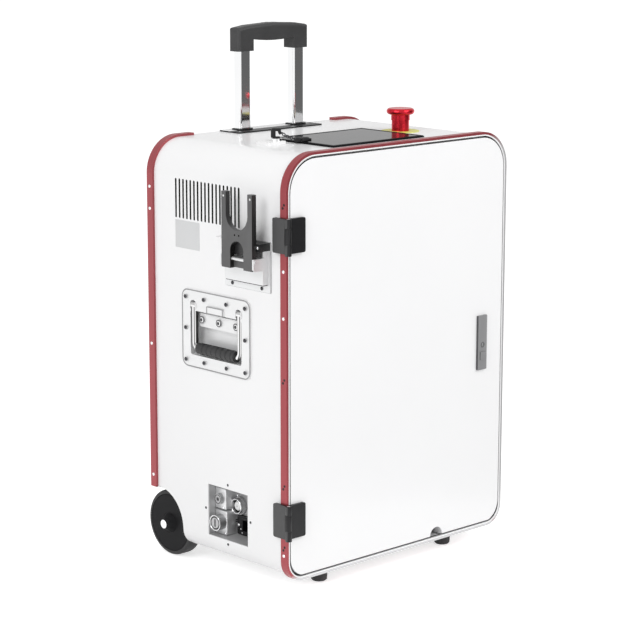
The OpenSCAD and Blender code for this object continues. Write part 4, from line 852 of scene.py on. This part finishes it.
VENT_COUNT = 18
VENT_PITCH = 8.57
VENT_Y = 107.01
VENT_LOW = 530
VENT_TOP = 591
SLOT_W = 3.5
SLOT_STEPS = 24
RIB_OVERLAP = 0.15
RIB_PROUD = 0.04
RIB_DEPTH = 2
FILTER_LOW = (103, 527)
FILTER_HIGH = (259, 592.5)
FILTER_T = 6
FILTER_EDGE = 1.5


def vent_filter(looks):
    """Painted shade: near-black ribs that cover the vent slots, a little wider than they are and proud
    of the sheet, stand for the dark depth of the slots; behind the left vent there is a foam filter."""
    left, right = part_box("body_shell")
    r = SLOT_W / 2 + RIB_OVERLAP
    for side, edge in ((-1, left.x), (1, right.x)):
        outer = cab_x(edge)
        bm = bmesh.new()
        for i in range(VENT_COUNT):
            mid_y = VENT_Y + i * VENT_PITCH + SLOT_W / 2
            line = []
            for step in range(SLOT_STEPS):
                angle = 2 * math.pi * step / SLOT_STEPS
                upper = step <= SLOT_STEPS / 2
                mid_z = VENT_TOP - SLOT_W / 2 if upper else VENT_LOW + SLOT_W / 2
                line.append((mid_y + r * math.cos(angle), mid_z + r * math.sin(angle)))
            inner = [bm.verts.new(at(outer - side * RIB_DEPTH, y, z)) for y, z in line]
            shown = [bm.verts.new(at(outer + side * RIB_PROUD, y, z)) for y, z in line]
            for j in range(SLOT_STEPS):
                k = (j + 1) % SLOT_STEPS
                bm.faces.new((inner[j], inner[k], shown[k], shown[j]))
            bm.faces.new(shown)
            bm.faces.new(list(reversed(inner)))
        # Near-black ribs: painted shade for the depth of the slots
        name = "vent_shade_ribs_" + SIDE_NAME[side]
        piece_of(name, smooth_mesh(bm, name), looks["foam_and_shade"], "cabinet")
    behind = cab_x(left.x) + RIB_DEPTH
    slab("vent_filter", at(behind, *FILTER_LOW), at(behind + FILTER_T, *FILTER_HIGH), FILTER_EDGE,
         looks["foam_and_shade"])


# Blocks of the keys: a place from the switch, a tilt in degrees, a size and an edge radius
BOW_PADS = (((0, 0, 1.2), 0, (12, 6, 2.8), 0.9), ((-4.6, 0, 7), 0, (7.4, 5, 13), 1.8),
            ((5.2, 0, 9.6), -20, (5, 5, 8), 1.6), ((0, 0, 13), 0, (15, 5, 4.6), 1.8))
SPARE_PADS = (((32.5, -2, -1.9), 0, (11, 12, 6.8), 2.4), ((44.6, -2, -1.9), 0, (12, 13, 6.8), 2.4),
              ((51.4, -4.5, -2.6), 0, (4, 4, 5), 0.6))
KEY_TURN = math.radians(-38)
CHAIN_LINKS = 7
CHAIN_X = 8.5
CHAIN_RUN = 18
CHAIN_Z = 7.5
CHAIN_DROP = 8.6
CHAIN_SAG = 1.2
LINK_R = 2
LINK_WIRE_R = 0.75
LINK_STEPS = 24
WIRE_STEPS = 10
LINK_LEANS = (20, 90)


def add_link(bm, matrix):
    """A round chain link."""
    rows = []
    for i in range(LINK_STEPS):
        a = i * 2 * math.pi / LINK_STEPS
        row = []
        for j in range(WIRE_STEPS):
            b = j * 2 * math.pi / WIRE_STEPS
            d = (LINK_R + LINK_WIRE_R * math.cos(b)) * MM
            row.append(bm.verts.new(matrix @ Vector((d * math.cos(a), d * math.sin(a),
                                                     LINK_WIRE_R * MM * math.sin(b)))))
        rows.append(row)
    close_rows(bm, rows)


def add_pad(bm, matrix, size, edge):
    """A rounded block round a point, for a key's moulded head."""
    made = bmesh.ops.create_cube(bm, size=1)["verts"]
    bmesh.ops.scale(bm, vec=Vector(size) * MM, verts=made)
    edges = list({e for v in made for e in v.link_edges})
    out = bmesh.ops.bevel(bm, geom=edges, offset=edge * MM, segments=PAD_EDGE_STEPS,
                          affect="EDGES", profile=0.5)
    verts = {v for f in out["faces"] for v in f.verts}
    bmesh.ops.transform(bm, matrix=matrix, verts=list(verts))


def key_set(looks):
    """The key in the switch, a short chain of links, and the spare key that lies by the screen."""
    low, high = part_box("key_bezel")
    top = Vector(((low.x + high.x) / 2, (low.y + high.y) / 2, high.z))
    here = Matrix.Translation(top) @ Matrix.Rotation(KEY_TURN, 4, "Z")

    def spot(x, y, z):
        return here @ Matrix.Translation(Vector((x, y, z)) * MM)

    for name, pads, stand_for in (("switch_key_bow", BOW_PADS, ["switch_key"]),
                                  ("spare_key", SPARE_PADS, ())):
        bm = bmesh.new()
        for place, tilt, size, edge in pads:
            add_pad(bm, spot(*place) @ Matrix.Rotation(math.radians(tilt), 4, "Y"), size, edge)
        piece_of(name, smooth_mesh(bm, name), looks["hinge_black"], "key",
                 stand_for)
    bm = bmesh.new()
    for i in range(CHAIN_LINKS):
        share = i / (CHAIN_LINKS - 1)
        z = CHAIN_Z - CHAIN_DROP * share - CHAIN_SAG * math.sin(math.pi * share)
        lean = Matrix.Rotation(math.radians(LINK_LEANS[i % 2]), 4, "X")
        add_link(bm, spot(CHAIN_X + CHAIN_RUN * share, 0, z) @ lean)
    piece_of("key_chain", smooth_mesh(bm, "key_chain"), looks["dark_chrome"], "key")


# Stage; its sizes and places are in metres

FLOOR_HALF = 28
FLOOR_DROP = 0.0002
FLOOR_GREY = (0.8, 0.8, 0.8, 1)
FLOOR_GLOW = 0.62
WORLD_LIGHT = 0.74
LAMP_TARGET = Vector((0, 0, 0.4))
LAMPS = (("key_light", (0.9, -3.4, 2.6), 2.6, 82), ("side_light", (-3.4, -0.6, 2.2), 2.2, 60),
         ("top_light", (0.2, 0.4, 3.4), 2.4, 4))


def shown_white(tree):
    """1 for rays that show the background: from the camera, or by way of metal or glass."""
    path = tree.nodes.new("ShaderNodeLightPath")
    fac = path.outputs["Is Camera Ray"]
    for kind in ("Is Glossy Ray", "Is Transmission Ray"):
        fac = join_of(tree, "MAXIMUM", fac, path.outputs[kind])
    return fac


def floor_material():
    """White for the camera, and plain diffuse for the light, so that a soft shadow stays."""
    mat = bpy.data.materials.new("studio_floor")
    mat.use_nodes = True
    tree = mat.node_tree
    tree.nodes.clear()
    out = tree.nodes.new("ShaderNodeOutputMaterial")
    add = tree.nodes.new("ShaderNodeAddShader")
    diffuse = tree.nodes.new("ShaderNodeBsdfDiffuse")
    diffuse.inputs["Color"].default_value = FLOOR_GREY
    glow = tree.nodes.new("ShaderNodeEmission")
    level = tree.nodes.new("ShaderNodeMath")
    level.operation = "MULTIPLY"
    level.inputs[1].default_value = FLOOR_GLOW
    tree.links.new(shown_white(tree), level.inputs[0])
    tree.links.new(level.outputs[0], glow.inputs["Strength"])
    tree.links.new(diffuse.outputs[0], add.inputs[0])
    tree.links.new(glow.outputs[0], add.inputs[1])
    tree.links.new(add.outputs[0], out.inputs["Surface"])
    return mat


def make_floor():
    bm = bmesh.new()
    bmesh.ops.create_grid(bm, x_segments=8, y_segments=8, size=FLOOR_HALF)
    mesh = bpy.data.meshes.new("floor")
    bm.to_mesh(mesh)
    bm.free()
    floor = bpy.data.objects.new("floor", mesh)
    floor.location.z = cad_low.z - FLOOR_DROP
    bpy.context.scene.collection.objects.link(floor)
    mesh.materials.append(floor_material())


def make_world():
    world = bpy.data.worlds.new("studio")
    bpy.context.scene.world = world
    world.use_nodes = True
    tree = world.node_tree
    tree.nodes.clear()
    out = tree.nodes.new("ShaderNodeOutputWorld")
    back = tree.nodes.new("ShaderNodeBackground")
    level = tree.nodes.new("ShaderNodeMapRange")
    level.inputs["To Min"].default_value = WORLD_LIGHT
    level.inputs["To Max"].default_value = 1.0
    tree.links.new(shown_white(tree), level.inputs["Value"])
    tree.links.new(level.outputs[0], back.inputs["Strength"])
    tree.links.new(back.outputs[0], out.inputs["Surface"])


def area_light(name, place, size, power):
    data = bpy.data.lights.new(name, "AREA")
    data.shape = "SQUARE"
    data.size = size
    data.energy = power
    light = bpy.data.objects.new(name, data)
    bpy.context.scene.collection.objects.link(light)
    light.location = place
    light.rotation_euler = (LAMP_TARGET - Vector(place)).to_track_quat("-Z", "Y").to_euler()


CARD_WAY = Vector((0.69, -0.72, 0))
UPRIGHT_PLACE = CARD_WAY * 1.7 + Vector((0, 0, 0.75))
UPRIGHT_SIZE = (1.9, 1.5, 1, 1)
UPRIGHT_GREYS = (0.2, 0.045)
LYING_PLACE = CARD_WAY * 1.1 + Vector((0, 0, 0.001))
LYING_SIZE = (1.9, 1.2, 1, 1)
LYING_GREYS = (0.2, 0.3)


def card_glow(name, near, far):
    """A plain grey glow that runs from one level to another along a card."""
    mat = bpy.data.materials.new(name)
    mat.use_nodes = True
    tree = mat.node_tree
    tree.nodes.clear()
    out = tree.nodes.new("ShaderNodeOutputMaterial")
    glow = tree.nodes.new("ShaderNodeEmission")
    coords = tree.nodes.new("ShaderNodeTexCoord")
    split = tree.nodes.new("ShaderNodeSeparateXYZ")
    ramp = tree.nodes.new("ShaderNodeValToRGB")
    ramp.color_ramp.elements[0].color = (near, near, near, 1)
    ramp.color_ramp.elements[1].color = (far, far, far, 1)
    tree.links.new(coords.outputs["Generated"], split.inputs[0])
    tree.links.new(split.outputs["Y"], ramp.inputs["Fac"])
    tree.links.new(ramp.outputs["Color"], glow.inputs["Color"])
    tree.links.new(glow.outputs[0], out.inputs["Surface"])
    return mat


def dark_card(name, matrix, near, far):
    """A grey studio card that only reflections see."""
    bm = bmesh.new()
    bmesh.ops.create_grid(bm, x_segments=2, y_segments=2, size=0.5)
    mesh = bpy.data.meshes.new(name)
    bm.to_mesh(mesh)
    bm.free()
    card = bpy.data.objects.new(name, mesh)
    bpy.context.scene.collection.objects.link(card)
    card.matrix_world = matrix
    mesh.materials.append(card_glow(name, near, far))
    card.visible_camera = False
    card.visible_diffuse = False
    card.visible_shadow = False
    card.visible_transmission = False


def dark_cards():
    """Two cards in front and to the right: one upright, one just over the floor."""
    upright = CARD_WAY.to_track_quat("Z", "Y").to_matrix().to_4x4()
    dark_card("upright_card", Matrix.Translation(UPRIGHT_PLACE) @ upright
              @ Matrix.Diagonal(UPRIGHT_SIZE), *UPRIGHT_GREYS)
    across = Vector((CARD_WAY.y, -CARD_WAY.x, 0))
    lying = Matrix((across, -CARD_WAY, Vector((0, 0, 1)))).transposed().to_4x4()
    dark_card("floor_card", Matrix.Translation(LYING_PLACE) @ lying
              @ Matrix.Diagonal(LYING_SIZE), *LYING_GREYS)


def make_stage():
    make_floor()
    make_world()
    dark_cards()
    for lamp in LAMPS:
        area_light(*lamp)


LOCK_EDGE = 0.5
FORK_EDGE = 0.6
LEAF_EDGE = 0.6

make_camera()
scene = bpy.context.scene
scene.view_settings.view_transform = "Standard"
looks = make_materials()
tint_faces(looks)
dress_nodes(looks)
trim_screws(looks)
recess_screws(looks)
handle_trim(looks)
rest_screws(looks)
door_gap_shade(looks)
label_plate(looks)
vent_filter(looks)
socket_caps(looks)
key_set(looks)
soften("lock_plate", LOCK_EDGE)
soften("gun_rest_fork", FORK_EDGE)
for mid in ("upper", "lower"):
    soften(mid + "_hinge_fixed_leaf", LEAF_EDGE)
    soften(mid + "_hinge_door_leaf", LEAF_EDGE)
make_stage()

bpy.context.view_layer.update()
